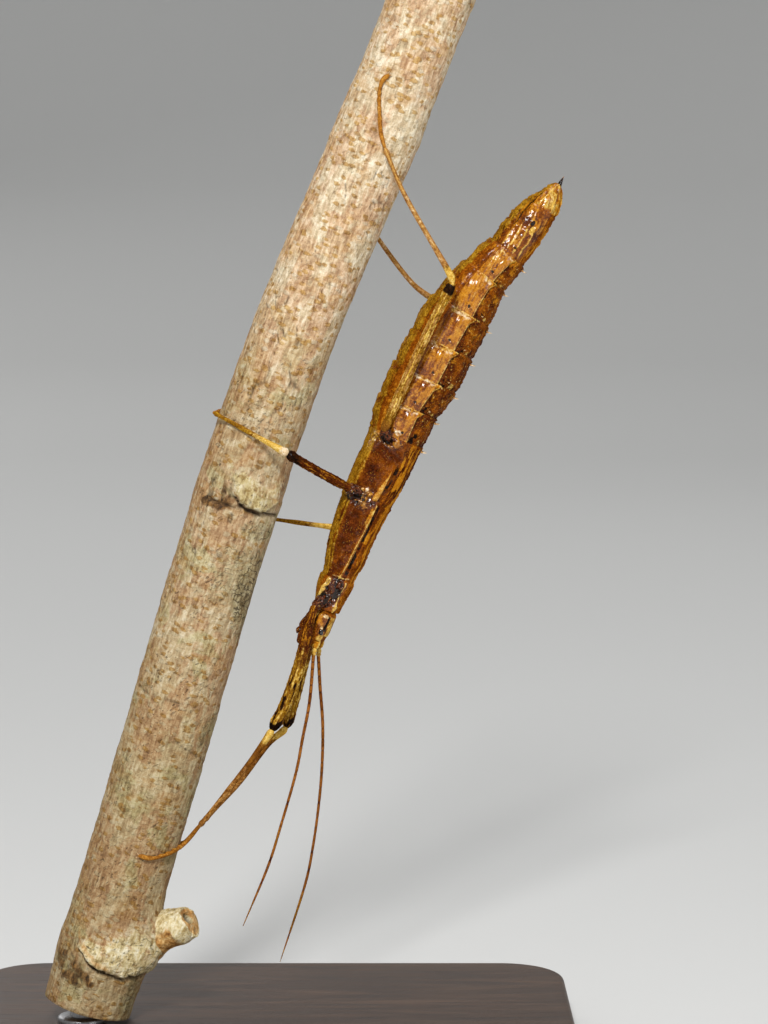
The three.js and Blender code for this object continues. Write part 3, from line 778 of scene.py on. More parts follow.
def lay_flank(shell):
    """The flank of a ring: a thin arched ridge, a smooth amber band, and a ladder of folds."""
    wobble, fibres, pleura, rings = shell.wobble, shell.fibres, shell.pleura, shell.rings
    ridge_angle, pleura_top, later = shell.ridge_angle, shell.pleura_top, shell.later
    ridge = hill(shell.off(ridge_angle), 0.11) * rings
    shell.height += 0.12 * ridge - 0.09 * hill(shell.off(ridge_angle) + 0.24, 0.12) * rings
    amber_band = band(shell.degrees, ridge_angle + 1.5, pleura_top - 1, 1.5) * rings
    mid_band = hill(shell.off((ridge_angle + pleura_top) / 2), 0.35)
    shell.height += amber_band * (0.03 * fibres + 0.05 * mid_band)

    # The early rings have crosswise folds here, the later ones lengthwise threads.
    wrinkle = np.sin(2 * np.pi * shell.along / 0.5 + 4.5 * wobble + 2.6 * shell.fine)
    folded = (1 - rise(shell.share, 0.5, 0.7)) * (0.6 + 0.6 * wobble) * (1 - 0.5 * later)
    threads = np.sin(shell.arc * 2 * np.pi / 0.46 + 2.4 * wobble + 1.6 * fibres)
    swelling = hill(shell.off((pleura_top + PLEURA_FOOT) / 2), 0.45)
    shell.height += pleura * (0.06 + 0.08 * swelling + 0.06 * wrinkle * folded + 0.035 * threads * later)
    shell.height -= 0.12 * hill(shell.off(PLEURA_FOOT + 1.5), 0.13) * rings
    shell.height -= 0.07 * hill(shell.off(pleura_top - 1), 0.09) * rings

    fade = rise(shell.ragged.degrees, ridge_angle + 12, pleura_top)
    amber = amber_band * (0.72 + 0.9 * fibres + 0.3 * wobble - 0.3 * fade)
    amber *= 1 - 0.5 * hill(shell.behind - 0.6, 0.5)
    amber += 0.55 * pleura * rise(0.9 * fibres - 0.4 * wobble, -0.3, 0.25) + 0.35 * later * pleura
    # Pale on the crests of the folds, towards each ring's rear and most on the later rings: partly the
    # membrane's own pale colour, partly painted highlight.
    pale = 0.4 * pleura * rise(wobble + 0.8 * fibres + 0.2 * wrinkle, 0.1, 0.5)
    chestnut = 0.75 * rise(-wrinkle, 0.3, 0.95) * folded + 0.3 * rise(-wobble - 0.7 * fibres, 0.15, 0.45)
    off = shell.ragged.off
    soot = 0.5 * hill(off(ridge_angle) + 0.24, 0.1) * (0.7 + 0.8 * wobble) * (1 - 0.6 * later)
    soot += 0.3 * hill(off(PLEURA_FOOT + 1.5), 0.12) + 0.25 * hill(off(pleura_top - 1), 0.08)
    shell.colour(
        cream=0.8 * ridge * (0.85 + 0.5 * wobble)
        + 0.5 * pleura * later * rise(threads, 0.35, 0.85) * rise(wobble, -0.4, 0.1),
        pale=pale * (0.25 + 0.4 * later) * rise(shell.share, 0.4, 0.7),
        tan=pleura * (0.25 * rise(wobble + 0.9 * fibres, -0.2, 0.35) + 0.2 * rise(shell.blotch, 0.0, 0.4)),
        olive=0.3 * amber_band * rise(shell.fine, 0.1, 0.3),
        amber=amber,
        chestnut=pleura * chestnut
        + 0.6 * hill(off(ridge_angle) + 0.3, 0.2) * rings
        + 0.12 * amber_band * rise(-fibres - 0.3 * wobble, 0.05, 0.4),
        soot=soot * rings,
    )


def lay_belly(shell):
    """The belly's plates, and their lumpy yellow-brown edge."""
    wobble, fine = shell.wobble, shell.fine
    sternum = rise(shell.degrees, PLEURA_FOOT, PLEURA_FOOT + 5) * (shell.rings + 0.5 * shell.tail)
    belly = rise(shell.degrees, BELLY_EDGE - 6, BELLY_EDGE + 5)
    shell.height += sternum * (0.06 * wobble + 0.04 * fine) + 0.06 * sternum * hill(shell.off(124), 0.3)
    shell.height += belly * (0.22 * wobble + 0.05 * fine) * (0.5 + 0.5 * shell.abdomen)

    amber_edge = band(shell.ragged.degrees, PLEURA_FOOT + 3, 134, 5)
    shell.colour(
        olive=belly * (0.7 + 0.9 * wobble),
        amber=0.5 * sternum * shell.rings * amber_edge * rise(wobble + shell.fibres, -0.3, 0.4),
        chestnut=0.35 * sternum * rise(-wobble, 0.1, 0.5),
        fleck=0.8 * sternum + 0.6 * belly,
        wet=0.2 * sternum * (1 - rise(shell.ragged.degrees, 122, 132)),
    )


def lay_back(shell):
    """The back: granules, a keel and a low rib."""
    wobble, fine, tergum, blotch = shell.wobble, shell.fine, shell.tergum, shell.blotch
    thorax = 1 - shell.abdomen
    granule = hill(shell.pebble_far, 0.32) * (shell.pebble_own > 0.45)
    keel = hill(shell.off(0), 0.2)
    back_rib = hill(shell.off(36 - 10 * shell.share), 0.14) * (shell.rings + 0.6 * thorax)
    shell.height += 0.055 * granule * tergum + 0.06 * tergum * fine
    shell.height += keel * (0.16 + 0.06 * fine) * (1 - shell.last) + 0.06 * back_rib

    in_ring = Places(shell.behind, shell.ragged.degrees, shell.reach)
    pale_corner = in_ring.patch(0.3, 38, 0.7, 0.6) * shell.rings
    dark_corner = in_ring.patch(0.55, 56, 0.9, 0.6) * rise(fine, -0.3, 0.25) * (1 - 0.6 * shell.later)
    amber = 0.45 * rise(wobble + 0.5 * fine, 0.1, 0.5) * rise(shell.share, 0.2, 0.5)
    amber += 0.35 * shell.later * rise(wobble - 0.3 * blotch, -0.2, 0.3)
    chestnut = 0.5 + 0.8 * blotch + 0.45 * hill(shell.behind - 0.35, 0.3) * shell.rings - 0.3 * shell.later
    shell.colour(
        cream=0.55 * pale_corner * rise(fine, -0.3, 0.2) + 0.7 * granule * tergum * (shell.pebble_own > 0.86),
        amber=tergum * amber,
        chestnut=tergum * chestnut,
        soot=tergum * (0.55 * dark_corner + 0.5 * rise(fine - 0.4 * blotch, 0.2, 0.42)),
        fleck=0.5 * tergum,
        pips=0.4 * tergum,
        wet=0.35 * tergum * granule,
    )


def lay_breathing_holes(shell):
    """A pit with a raised edge at the front of each ring of the abdomen."""
    has_hole = (shell.rings > 0.5) | ((shell.ring == 9) & (shell.behind < 3))
    along_gap = shell.behind - SPIRACLE_BEHIND
    round_gap = shell.off(SPIRACLE_ANGLE)
    far = np.hypot(along_gap, round_gap) + 9 * ~has_hole
    crescent = hill(far - 0.33, 0.13) * rise(along_gap - round_gap, 0.15, -0.1)
    shell.height += 0.08 * hill(far - 0.3, 0.13) + 0.06 * crescent - 0.18 * hill(far, 0.18)
    shell.colour(cream=0.3 * crescent, soot=hill(far, 0.22))


def lay_mesothorax(shell):
    """A thin double ridge that widens to a lobe, a dark furrow behind it, and grain on the side."""
    along, wobble, fine, mesothorax = shell.along, shell.wobble, shell.fine, shell.mesothorax
    gap = shell.off(table(along, MESOTHORAX_RIDGE))
    lobe_gap = shell.off(table(along, MESOTHORAX_RIDGE) + 3)
    ridge = hill(gap + 0.02 * wobble, 0.085) * mesothorax
    second_ridge = hill(gap + 0.26 + 0.05 * wobble, 0.06) * mesothorax * rise(along, 5.5, 7)
    second_ridge = second_ridge * (1 - rise(along, 13, 14.5))
    lobe = (1 - rise(np.abs(lobe_gap), 0.2, 0.42)) * band(along, 12.8, 15.5, 0.5)
    furrow = band(gap, -0.85 + 0.02 * (along - 5) + 0.2 * wobble, -0.24, 0.12) * mesothorax
    beads = hill((along % 0.8) - 0.4, 0.13) * hill(gap + 0.5, 0.12) * mesothorax * rise(along, 6, 8)
    side = rise(gap, 0.1, 0.3) * mesothorax
    seam = hill(shell.off(102 + 12 * np.sin((along - 5) * 0.27)) + 0.15 * wobble, 0.1) * mesothorax
    grains = hill(shell.pebble_far, 0.33) * (shell.pebble_own > 0.3)
    shell.height += 0.15 * ridge + 0.09 * second_ridge + 0.17 * lobe - 0.12 * furrow + 0.1 * beads
    shell.height += 0.05 * grains * side - 0.08 * seam

    shell.colour(
        cream=0.75 * ridge + 0.55 * second_ridge + 0.5 * lobe * rise(wobble, -0.3, 0.2),
        amber=0.6 * lobe,
        chestnut=0.8 * furrow + 0.7 * side * (0.9 + 0.7 * shell.blotch),
        soot=0.9 * furrow * rise(wobble + 0.7 * fine, -0.6, 0.1) * rise(along, 4.6, 5.4)
        + 0.5 * beads
        + 0.45 * seam * rise(along, 8, 13),
        fleck=0.3 * side + 0.3 * mesothorax,
        pips=0.5 * side * rise(fine + wobble, -0.4, 0.3),
        wet=0.5 * ridge,
    )


def lay_metathorax(shell):
    """A blunt yellow wedge with a black furrow behind it, and a slanting seam."""
    along, wobble, fine, metathorax = shell.along, shell.wobble, shell.fine, shell.metathorax
    gap = shell.off(table(along, WEDGE_RIDGE))
    wedge_width = 0.3 * (1 - rise(along, 17.2, 21.0))
    wedge = 1 - rise(np.abs(gap + 0.05 * wobble), wedge_width, wedge_width + 0.14)
    wedge = wedge * band(along, 16.4, 20.9, 0.2)
    furrow = band(gap, -1.0 + 0.3 * wobble, -0.3, 0.14) * band(along, 16.2, 24.0, 0.5)
    furrow = furrow * np.clip(0.55 + 0.9 * wobble + 0.5 * fine, 0, 1)
    seam = hill(shell.off(118 - 4 * (along - 18)) + 0.15 * wobble, 0.11) * metathorax
    grains = hill(shell.pebble_far, 0.33) * (shell.pebble_own > 0.3)
    shell.height += 0.2 * wedge - 0.12 * furrow - 0.09 * seam
    shell.height += 0.07 * grains * band(shell.degrees, 78, 128, 6) * metathorax

    shell.colour(
        cream=0.4 * wedge,
        amber=0.85 * wedge + 0.6 * hill(shell.ragged.off(134), 0.4) * metathorax,
        chestnut=metathorax * (0.45 * (0.9 + 0.9 * shell.blotch) + 0.25 * rise(shell.ragged.degrees, 76, 84)),
        soot=1.1 * furrow + 0.5 * seam * rise(wobble, -0.3, 0.2),
        pips=0.45 * metathorax * rise(fine + wobble, -0.4, 0.3),
        wet=0.5 * wedge,
    )


def lay_both_thorax_rings(shell):
    """What the two rear thorax parts share: a streaked grainy back, and an olive line above the belly."""
    wobble, fine, ragged = shell.wobble, shell.fine, shell.ragged.degrees
    both = shell.mesothorax + shell.metathorax
    grains = hill(shell.pebble_far, 0.33) * (shell.pebble_own > 0.3)
    olive_line = hill(shell.off(131 + 3 * wobble), 0.2) * shell.mesothorax * rise(shell.along, 5.4, 6.6)
    olive_line += hill(shell.off(134 + 3 * wobble), 0.26) * shell.metathorax
    shell.height += 0.045 * grains * both * (1 - rise(shell.degrees, 50, 60)) + 0.04 * fine * both
    shell.height += 0.1 * olive_line

    back_streak = rough(shell.along * 0.45, shell.signed_arc * 2.2, 71.0)
    amber = 0.2 * (1 - rise(ragged, 46, 56))
    amber += 0.65 * (1 - rise(ragged, 50, 60)) * rise(back_streak, -0.05, 0.3)
    shell.colour(
        cream=0.4 * olive_line * rise(fine, -0.2, 0.3),
        olive=0.75 * olive_line + 0.5 * both * rise(ragged, 134, 142) * (0.7 + 0.8 * wobble),
        amber=both * amber,
        chestnut=0.6 * both * (1 - rise(ragged, 46, 60)) * rise(-back_streak, -0.1, 0.3),
        wet=0.4 * both * rise(fine, -0.1, 0.4) * band(ragged, 55, 130, 8),
    )


def lay_prothorax(shell):
    """A thin ridge on the back side of its membrane, a pale strip below, and a knob in front."""
    along, wobble, fine, prothorax = shell.along, shell.wobble, shell.fine, shell.prothorax
    ridge = hill(shell.off(table(along, PROTHORAX_RIDGE)), 0.13) * prothorax
    strip_gap = np.abs(shell.off(table(along, PROTHORAX_STRIP)))
    strip = (1 - rise(strip_gap + 0.1 * wobble, 0.16, 0.36)) * prothorax * rise(along, 0.3, 0.8)
    knob = hill(np.hypot(along - 0.75, shell.off(57)), 0.42)
    collar = hill(along - PROTHORAX_END - 0.5 - 0.15 * wobble, 0.13) * band(shell.degrees, 50, 118, 4)
    waist = 0.6 * hill(along - 5.0, 1.4) + 0.15 * hill(along - 2.2, 1.5)
    shell.height -= waist * (1 - rise(shell.degrees, 40, 85))
    shell.height += 0.4 * hill(along - 3.4, 1.5) * rise(shell.degrees, 112, 150)
    shell.height += 0.18 * ridge + 0.16 * strip + 0.26 * knob + 0.12 * collar

    shell.colour(
        cream=0.8 * ridge + 0.8 * strip * (0.9 + 0.6 * fine) + 0.8 * knob + 0.7 * collar * (0.8 + 0.9 * fine),
        pale=0.3 * collar,
        amber=0.35 * prothorax * (1 - rise(shell.ragged.degrees, 48, 58)),
        wet=0.4 * prothorax * band(shell.ragged.degrees, 50, 130, 8),
    )


def lay_tail(shell):
    """The last three rings: lengthwise streaks, the scoop below with the slit over it, and the dark patch."""
    along, wobble, fine, tail, tenth = shell.along, shell.wobble, shell.fine, shell.tail, shell.tenth
    from_patch = np.abs(along - 58)
    streaks = np.sin(shell.arc * 2 * np.pi / 0.95 + 1.8 * wobble + 0.35 * from_patch)
    streaks *= tail * (1 - shell.last)
    scoop = rise(shell.degrees, 132, 146) * band(along, 54.6, 62.4, 0.7)
    slit = hill(shell.off(136 + 1.2 * (along - 60)), 0.1) * band(along, 57.4, 63.2, 0.4)
    upper_rim = hill(shell.off(52 + 3 * (along - 61)), 0.13)
    lower_rim = hill(shell.off(108 - 3 * (along - 61)), 0.13)
    rims = np.maximum(upper_rim, lower_rim) * tenth
    slim_back = tail * (1 - rise(shell.degrees, 40, 75)) * (1 - rise(along, 60.5, 62))
    shell.height += 0.035 * streaks + 0.06 * tail * fine + 0.34 * scoop * rise(along, 54, 57) - 0.2 * slit
    shell.height += 0.1 * rims - 0.14 * shell.patch(58.9, 88, 1.1, 0.75) - 0.28 * slim_back
    shell.height -= 0.5 * rise(shell.degrees, 95, 140) * band(along, 60.4, 64.5, 1.4)

    ragged, patch = shell.ragged.degrees, shell.ragged.patch
    dark_patch = np.maximum(patch(58.3, 52, 1.7, 1.1), patch(59.1, 98, 1.2, 1.3))
    pale_streaks = rise(streaks, 0.55, 0.92) * band(along, SEVENTH_END - 2, EIGHTH_END + 0.3, 0.5)
    eighth = band(along, SEVENTH_END - 0.3, EIGHTH_END, 0.4)
    amber = tail * (0.45 * (0.6 + 1.2 * wobble) + 0.25 * rise(streaks, 0.1, 0.8))
    amber += 0.35 * tenth * (0.8 + 0.9 * fine)
    chestnut = 0.35 * rise(shell.blotch + 0.3 * streaks, 0.1, 0.4) + 0.45 * rise(ragged, 120, 134)
    chestnut *= tail * (1 - tenth)
    shell.colour(
        cream=0.6 * pale_streaks * band(ragged, 56, 126, 6)
        + 0.55 * rims
        + 0.5 * tenth * rise(wobble + fine, -0.2, 0.35) * (1 - rise(ragged, 112, 126))
        + 0.9 * patch(58.2, 77, 0.7, 0.4),
        tan=0.3 * eighth * band(ragged, 76, 112, 6) * (0.8 + 0.6 * wobble),
        olive=0.55 * tenth * rise(wobble + 0.4 * fine, -0.1, 0.25),
        amber=amber,
        chestnut=chestnut + 0.95 * dark_patch * (0.8 + 0.5 * wobble) + 0.3 * tenth * rise(-fine, 0.1, 0.4),
        soot=0.8 * slit
        + 0.95 * patch(59.0, 87, 0.5, 0.34)
        + 0.35 * patch(58.6, 66, 1.0, 0.42) * rise(fine, -0.4, 0.1),
        fleck=0.5 * tail,
        wet=0.7 * tail * band(ragged, 45, 125, 10),
    )


def lay_leg_sockets(shell):
    """Where the legs leave: wet dark folds, and lumpy lobes round them."""
    along, wobble, fine, patch = shell.along, shell.wobble, shell.fine, shell.patch
    front = np.maximum(patch(2.7, 94, 2.6, 1.75), patch(1.2, 112, 1.2, 1.4))
    middle = np.maximum(patch(15.9, 122, 1.25, 2.3), patch(15.85, 74, 0.6, 0.5))
    hind = patch(24.5, 106, 0.85, 1.1)
    sockets = np.maximum(np.maximum(middle, hind), front)
    lobes = np.clip(patch(16.1, 98, 1.7, 2.2) + patch(24.9, 96, 1.6, 1.9) + patch(23.6, 134, 2.0, 1.3), 0, 1)
    fold_far, fold_own = pebbles(along / 0.6 + 0.3 * wobble, shell.signed_arc / 0.5)
    folds = (fold_own - 0.45) * hill(fold_far, 0.55)
    winding = np.abs(rough(along * 1.5 + 0.3 * wobble, shell.signed_arc * 1.3, 95.0))
    sinuous = 1 - np.clip(winding * 3.6, 0, 1)
    shell.height += sockets * (0.34 * sinuous**0.8 + 0.24 * fine - 0.24)
    shell.height += lobes * (1 - sockets) * (0.5 * folds + 0.12 * fine + 0.05)

    wet_folds = sockets * rise(sinuous, 0.8, 0.98) * rise(wobble, -0.25, 0.15)
    # Two pale patches by the middle and hind leg roots are painted highlights.
    painted_glints = 0.65 * shell.ragged.patch(17.1, 99, 0.55, 0.45) + 0.6 * shell.ragged.patch(25.9, 91, 0.5, 0.6)
    shell.colour(
        cream=0.4 * lobes * (fold_own > 0.8) * hill(fold_far, 0.35),
        pale=painted_glints * rise(fine, -0.3, 0.2),
        tan=0.6 * (wet_folds + lobes * rise(folds, 0.12, 0.35)),
        olive=0.4 * lobes * rise(wobble, -0.1, 0.3),
        amber=0.7 * lobes * rise(folds, 0.0, 0.2),
        chestnut=0.9 * sockets + 0.5 * lobes * rise(-folds, 0.1, 0.3),
        soot=0.6 * lobes * rise(-folds, 0.28, 0.42) * (1 - sockets)
        + 0.9 * sockets * rise(-sinuous - 0.8 * fine, -0.6, -0.1),
        wet=lobes + sockets,
    )
    shell.marks["pips"] = shell.marks["pips"] * (1 - sockets)


def body_form(along, turn):
    shell = BodyShell(along, turn)
    for lay_zone in (
        lay_rings, lay_flank, lay_belly, lay_back, lay_breathing_holes, lay_mesothorax, lay_metathorax,
        lay_both_thorax_rings, lay_prothorax, lay_tail, lay_leg_sockets,
    ):
        lay_zone(shell)
    past_end = np.clip((along - RING_ENDS[-1] + 0.5) / 0.5, 0, 1)
    close = 0.25 + 0.75 * np.sqrt(np.clip(1 - past_end**2, 0, 1))
    up = (shell.deep / 2 + shell.height) * np.cos(turn)
    side = (shell.wide / 2 + shell.height) * np.sin(turn)
    return up * close, side * close, shell.marks


body = skin("body_skin", body_line, (24, 20), 200, body_form)
hand_in(body, body_finish, "abdomen_cuticle", *BODY_SLOT_NODES)


def thorn(name, root, way, long, thick, lean=(0, 0, 0), dark=0.3):
    """A small horn: a blank drawn to a point, bent a little towards lean."""
    root = np.array(root, float)
    way = np.array(way, float) / np.linalg.norm(way)
    lean = np.array(lean)
    middle = root + way * long * 0.75 + lean * 0.4
    knots = [root - way * long * 0.3, root + way * long * 0.35, middle, root + way * long + lean]
    line = Line(knots, up=(0.3, 1, 0.2))

    def form(along, turn):
        far = along / line.length
        radius = thick * (1 - rise(far, 0.0, 1.25)) * (1 - 0.92 * rise(far, 0.8, 1.0))
        marks = {
            "soot": 0.9 * (1 - rise(far, dark - 0.15, dark + 0.15)),
            "tan": 0.8 * rise(far, dark - 0.1, dark + 0.15),
            "pale": 0.6 * rise(far, dark + 0.1, dark + 0.3),
        }
        return radius * np.cos(turn), radius * np.sin(turn), marks

    return skin(name, line, (8,), 10, form)


def body_spot(along, degrees, lift=0.0):
    """A place on the body's skin, and the way straight out of it. degrees is below 0 on the right side."""
    deep, wide = body_line.size(np.array(along))
    turn = math.radians(degrees)
    centre = body_line.spot(along, 0, 0)
    place = body_line.spot(along, (deep / 2 + lift) * math.cos(turn), (wide / 2 + lift) * math.sin(turn))
    way = place - centre
    return place, way / np.linalg.norm(way)


SPINE_PLACES = [24.6, 28.7, 33.6, 38.25, 43.45, 49.25, 53.6]
SPINE_LENGTH = 0.95
thorns = []
for spine_along in SPINE_PLACES:
    for spine_angle in (-13, 13):
        root, way = body_spot(spine_along, spine_angle, 0.1)
        thorns.append(thorn("thorn", root, way, SPINE_LENGTH, 0.17, lean=(0.16, 0, 0.16)))
for spine_along in (30.35, 34.9, 39.7, 44.9):
    for spine_angle in (-50, 50):
        root, way = body_spot(spine_along, spine_angle, 0.05)
        thorns.append(thorn("thorn", root, way, 0.42, 0.13, lean=(0.05, 0, 0.1)))
tail_tip = body_line.spot(RING_ENDS[-1] - 0.3, 0.2, 0)
tail_spike = thorn("thorn", tail_tip, (0.42, 0, 0.9), 1.5, 0.38, lean=(0.1, 0, 0.05), dark=0.8)
thorns.append(tail_spike)
hand_in(join("back_spines", thorns), joint_finish, "abdomen_cuticle")

# ---------------------------------------------------------------------------------------------
# The head
# ---------------------------------------------------------------------------------------------

HEAD_KNOTS = [
    (8.35, 0, 62.9, 2.6, 2.7),
    (8.1, 0, 62.1, 3.3, 3.3),
    (7.1, 0, 60.4, 3.9, 3.7),
    (6.4, 0, 58.7, 3.3, 3.3),
    (5.95, 0, 57.4, 1.9, 2.2),
]
head_line = Line(HEAD_KNOTS, up=(1, 0, -0.5))
HEAD_BACK = head_line.knots[1]
EYE_PLACE = (7.55, 1.72, 59.5)


def head_form(along, turn):
    deep, wide = head_line.size(along)
    degrees = np.degrees(np.abs(turn))
    reach = (deep + wide) / 4
    signed_arc = turn * reach
    from_back = along - HEAD_BACK
    places = Places(from_back, degrees, reach)
    off, patch = places.off, places.patch

    # The relief: smooth cheeks, a lobe with a sunken outline behind each, and the roots of eyes and feelers.
    wobble = rough(along * 1.3, signed_arc * 1.3, 21.0)
    fine = rough(along * 4.5, signed_arc * 4.5, 27.0)
    cheek = patch(1.0, 84, 1.3, 0.95)
    lobe = band(from_back, 0.1, 3.1, 0.25) * hill(off(41 - 3 * from_back), 0.6)
    outline_gap = np.abs(off(60 - 1.5 * from_back))
    outline = band(from_back, 0.25, 2.4, 0.25) * (1 - rise(outline_gap, 0.1 + 0.05 * wobble, 0.3))
    crown = hill(off(0), 0.16) * band(from_back, 0.2, 3.4, 0.3)
    gena = np.maximum(hill(off(116), 0.13), hill(off(134), 0.13)) * band(from_back, 0.0, 4.2, 0.4)
    eye_socket = patch(2.55, 66, 0.68, 0.6)
    feeler_root = patch(3.5, 62, 0.65, 0.6)
    brow = hill(from_back - 3.0, 0.12) * band(degrees, 30, 100, 8)
    clypeus = hill(from_back - 4.1, 0.12) * (degrees > 0)
    pebble_far, pebble_own = pebbles(along / 0.3, signed_arc / 0.3)
    grains = hill(pebble_far, 0.33) * (pebble_own > 0.3) * (1 - cheek) * rise(degrees, 96, 108)
    height = 0.2 * cheek + 0.18 * lobe - 0.16 * outline - 0.06 * crown + 0.1 * gena
    height += 0.1 * eye_socket + 0.2 * feeler_root + 0.05 * brow - 0.1 * clypeus
    height += 0.05 * wobble + 0.03 * fine * (1 - cheek) + 0.06 * grains
    height -= 0.25 * (1 - rise(along, 0.4, 1.0))
    past_end = np.clip((along - head_line.length + 0.8) / 0.8, 0, 1)
    close = 0.15 + 0.85 * np.sqrt(np.clip(1 - past_end**2, 0, 1))

    # The marks. A thin dark ring goes round the eye. Two small cream and pale patches are painted highlights,
    # one at the top of the cheek and one above the eye.
    head_painted_highlights = np.maximum(patch(0.35, 78, 0.3, 0.5), patch(2.0, 72, 0.28, 0.3))
    neck_line = hill(from_back - 0.05, 0.12) * rise(degrees, 60, 80)
    eye_ring = hill(np.abs(off(66)) - 0.58, 0.1) * hill(from_back - 2.55, 0.7)
    amber = 0.35 * cheek * (0.9 + 0.6 * wobble) + 0.4 * rise(wobble, 0.1, 0.5)
    amber += 0.5 * feeler_root + 0.4 * lobe
    cream = 0.62 * lobe * (0.9 + 0.6 * wobble) + 0.6 * gena
    cream += 0.6 * feeler_root + 0.3 * brow + 0.6 * head_painted_highlights
    marks = {
        "amber": amber,
        "cream": cream,
        "pale": 0.5 * head_painted_highlights,
        "olive": 0.8 * lobe + 0.4 * grains,
        "chestnut": 0.7 * rise(degrees, 96, 112) * (1 - gena) + 0.45 * hill(off(104), 0.5) * (1 - cheek),
        "soot": 0.98 * outline + 0.5 * neck_line + 0.7 * eye_ring + 0.4 * clypeus,
        "pips": 0.7 * feeler_root + 0.5 * gena + 0.4,
        "fleck": 0.6,
        "wet": cheek + eye_socket + 0.6 * feeler_root + 0.4 * lobe,
    }
    up = (deep / 2 + height) * np.cos(turn)
    side = (wide / 2 + height) * np.sin(turn)
    return up * close, side * close, marks


head = skin("head_shell", head_line, (12, 12), 120, head_form)
hand_in(head, head_finish, "thorax_cuticle", "head")

EYE_SIZE = (0.34, 0.34, 0.47)
eye_finish = eye_glass()
for side_name, eye_side in (("right", -1), ("left", 1)):
    bpy.ops.object.select_all(action="DESELECT")
    bpy.ops.mesh.primitive_uv_sphere_add(segments=48, ring_count=32, radius=1)
    eye = bpy.context.object
    eye.name = f"{side_name}_eye"
    bpy.ops.object.mode_set(mode="EDIT")
    bpy.ops.mesh.select_all(action="SELECT")
    bpy.ops.transform.resize(value=[v * MM for v in EYE_SIZE])
    eye_x, eye_y, eye_z = EYE_PLACE
    bpy.ops.transform.translate(value=(eye_x * MM, eye_side * eye_y * MM, eye_z * MM))
    bpy.ops.object.mode_set(mode="OBJECT")
    bpy.ops.object.shade_smooth()
    hand_in(eye, eye_finish, "eye", f"eye_{side_name}")


def limb(name, knots, radii, rings, sides, form=None, up=(0, -1, 0.2)):
    """A slender part along a line, its radius from rows of (share of its length, radius).

    form(share, turn, along) gives what is added to the radius, and the marks.
    """
    line = Line(knots, up=up)

    def round_form(along, turn):
        share = along / line.length
        extra, marks = form(share, turn, along) if form else (0, {})
        radius = table(share, radii) + extra
        return radius * np.cos(turn), radius * np.sin(turn), marks

    return skin(name, line, rings, sides, round_form, crowd=0.25)


# The mouth: an upper lip, and on each side a jaw and two palps. Each has its line, its radii and its sides.
LIP = [(5.9, 0, 58.2), (5.45, 0, 57.6), (4.9, 0, 57.3), (4.5, 0, 57.5)]
LIP_RADII = [(0, 0.3), (0.3, 0.95), (0.7, 0.85), (1, 0.12)]
JAW = [(6.2, 0.75, 59.9), (5.4, 0.95, 59.1), (4.9, 0.7, 58.2), (4.85, 0.3, 57.8)]
JAW_RADII = [(0, 0.55), (0.4, 0.6), (0.8, 0.42), (1, 0.08)]
UPPER_PALP = [(5.9, 0.9, 60.2), (5.15, 1.15, 59.9), (4.7, 1.15, 59.2), (4.5, 1.0, 58.4), (4.7, 0.9, 57.8)]
UPPER_PALP_RADII = [(0, 0.22), (0.3, 0.26), (0.36, 0.17), (0.62, 0.22), (0.68, 0.16), (0.92, 0.2), (1, 0.04)]
LOWER_PALP = [(5.8, 0.4, 60.6), (5.0, 0.5, 60.3), (4.5, 0.55, 59.8), (4.3, 0.5, 59.2)]
LOWER_PALP_RADII = [(0, 0.24), (0.45, 0.22), (0.52, 0.15), (0.9, 0.19), (1, 0.04)]
THROAT = [(7.2, 0, 61.6), (6.2, 0, 60.9), (5.5, 0, 60.1), (5.0, 0, 59.2)]
THROAT_RADII = [(0, 0.6), (0.4, 0.95), (0.8, 0.8), (1, 0.15)]


def mouth_form(share, turn, along):
    bands = np.sin(share * 3 * 2 * np.pi)
    return 0.02 * bands + 0.02 * rough(along * 4, np.sin(turn), np.cos(turn)), {
        "amber": 0.25 * rise(bands, 0.2, 0.8),
        "cream": 0.35 * rise(share, 0.85, 1.0),
        "chestnut": 0.9 - 0.3 * rise(bands, 0.2, 0.8),
        "pips": 0.6,
    }


mouth = [limb("lip", LIP, LIP_RADII, (24,), 32, mouth_form)]
for mouth_side in (-1, 1):
    for name, knots, radii in (
        ("jaw", JAW, JAW_RADII),
        ("palp", UPPER_PALP, UPPER_PALP_RADII),
        ("palp", LOWER_PALP, LOWER_PALP_RADII),
    ):
        mouth.append(limb(name, [(x, y * mouth_side, z) for x, y, z in knots], radii, (30,), 20, mouth_form))
mouth.append(limb("throat", THROAT, THROAT_RADII, (30,), 32, mouth_form))
hand_in(join("jaws_and_palps", mouth), head_finish, "dark_cuticle", "mouthparts")

# ---------------------------------------------------------------------------------------------
# The antennae
# ---------------------------------------------------------------------------------------------

# For each side: the lines of the scape, the pedicel and the thread.
ANTENNAE = {
    "right": (
        [(7.15, -0.95, 59.5), (7.1, -1.0, 59.1), (7, -1.05, 58.2), (6.65, -1.05, 57.2)],
        [(6.72, -1.05, 57.35), (6.6, -1.0, 56.7), (6.5, -1.0, 56.1)],
        [
            (6.54, -1, 56.3), (6, -1.9, 50), (5.1, -2.6, 45.3), (4.3, -3.1, 41.1), (2.1, -4.1, 33.4),
            (0.65, -4.8, 28.8), (-2.83, -5.9, 20.5),
        ],
    ),
    "left": (
        [(7.5, 0.95, 59.5), (7.5, 1.0, 59), (7.45, 1.05, 58), (7.22, 1.05, 57)],
        [(7.26, 1.05, 57.1), (7.2, 1.05, 56.4), (7.13, 1.0, 55.8)],
        [
            (7.15, 1, 56), (7.35, 1.5, 51.8), (7.7, 2, 46.4), (7.55, 2.5, 40.1), (7.02, 3, 34.4),
            (6.31, 3.5, 29.4), (5.42, 4, 24.8), (1.73, 4.5, 13.1),
        ],
    ),
}
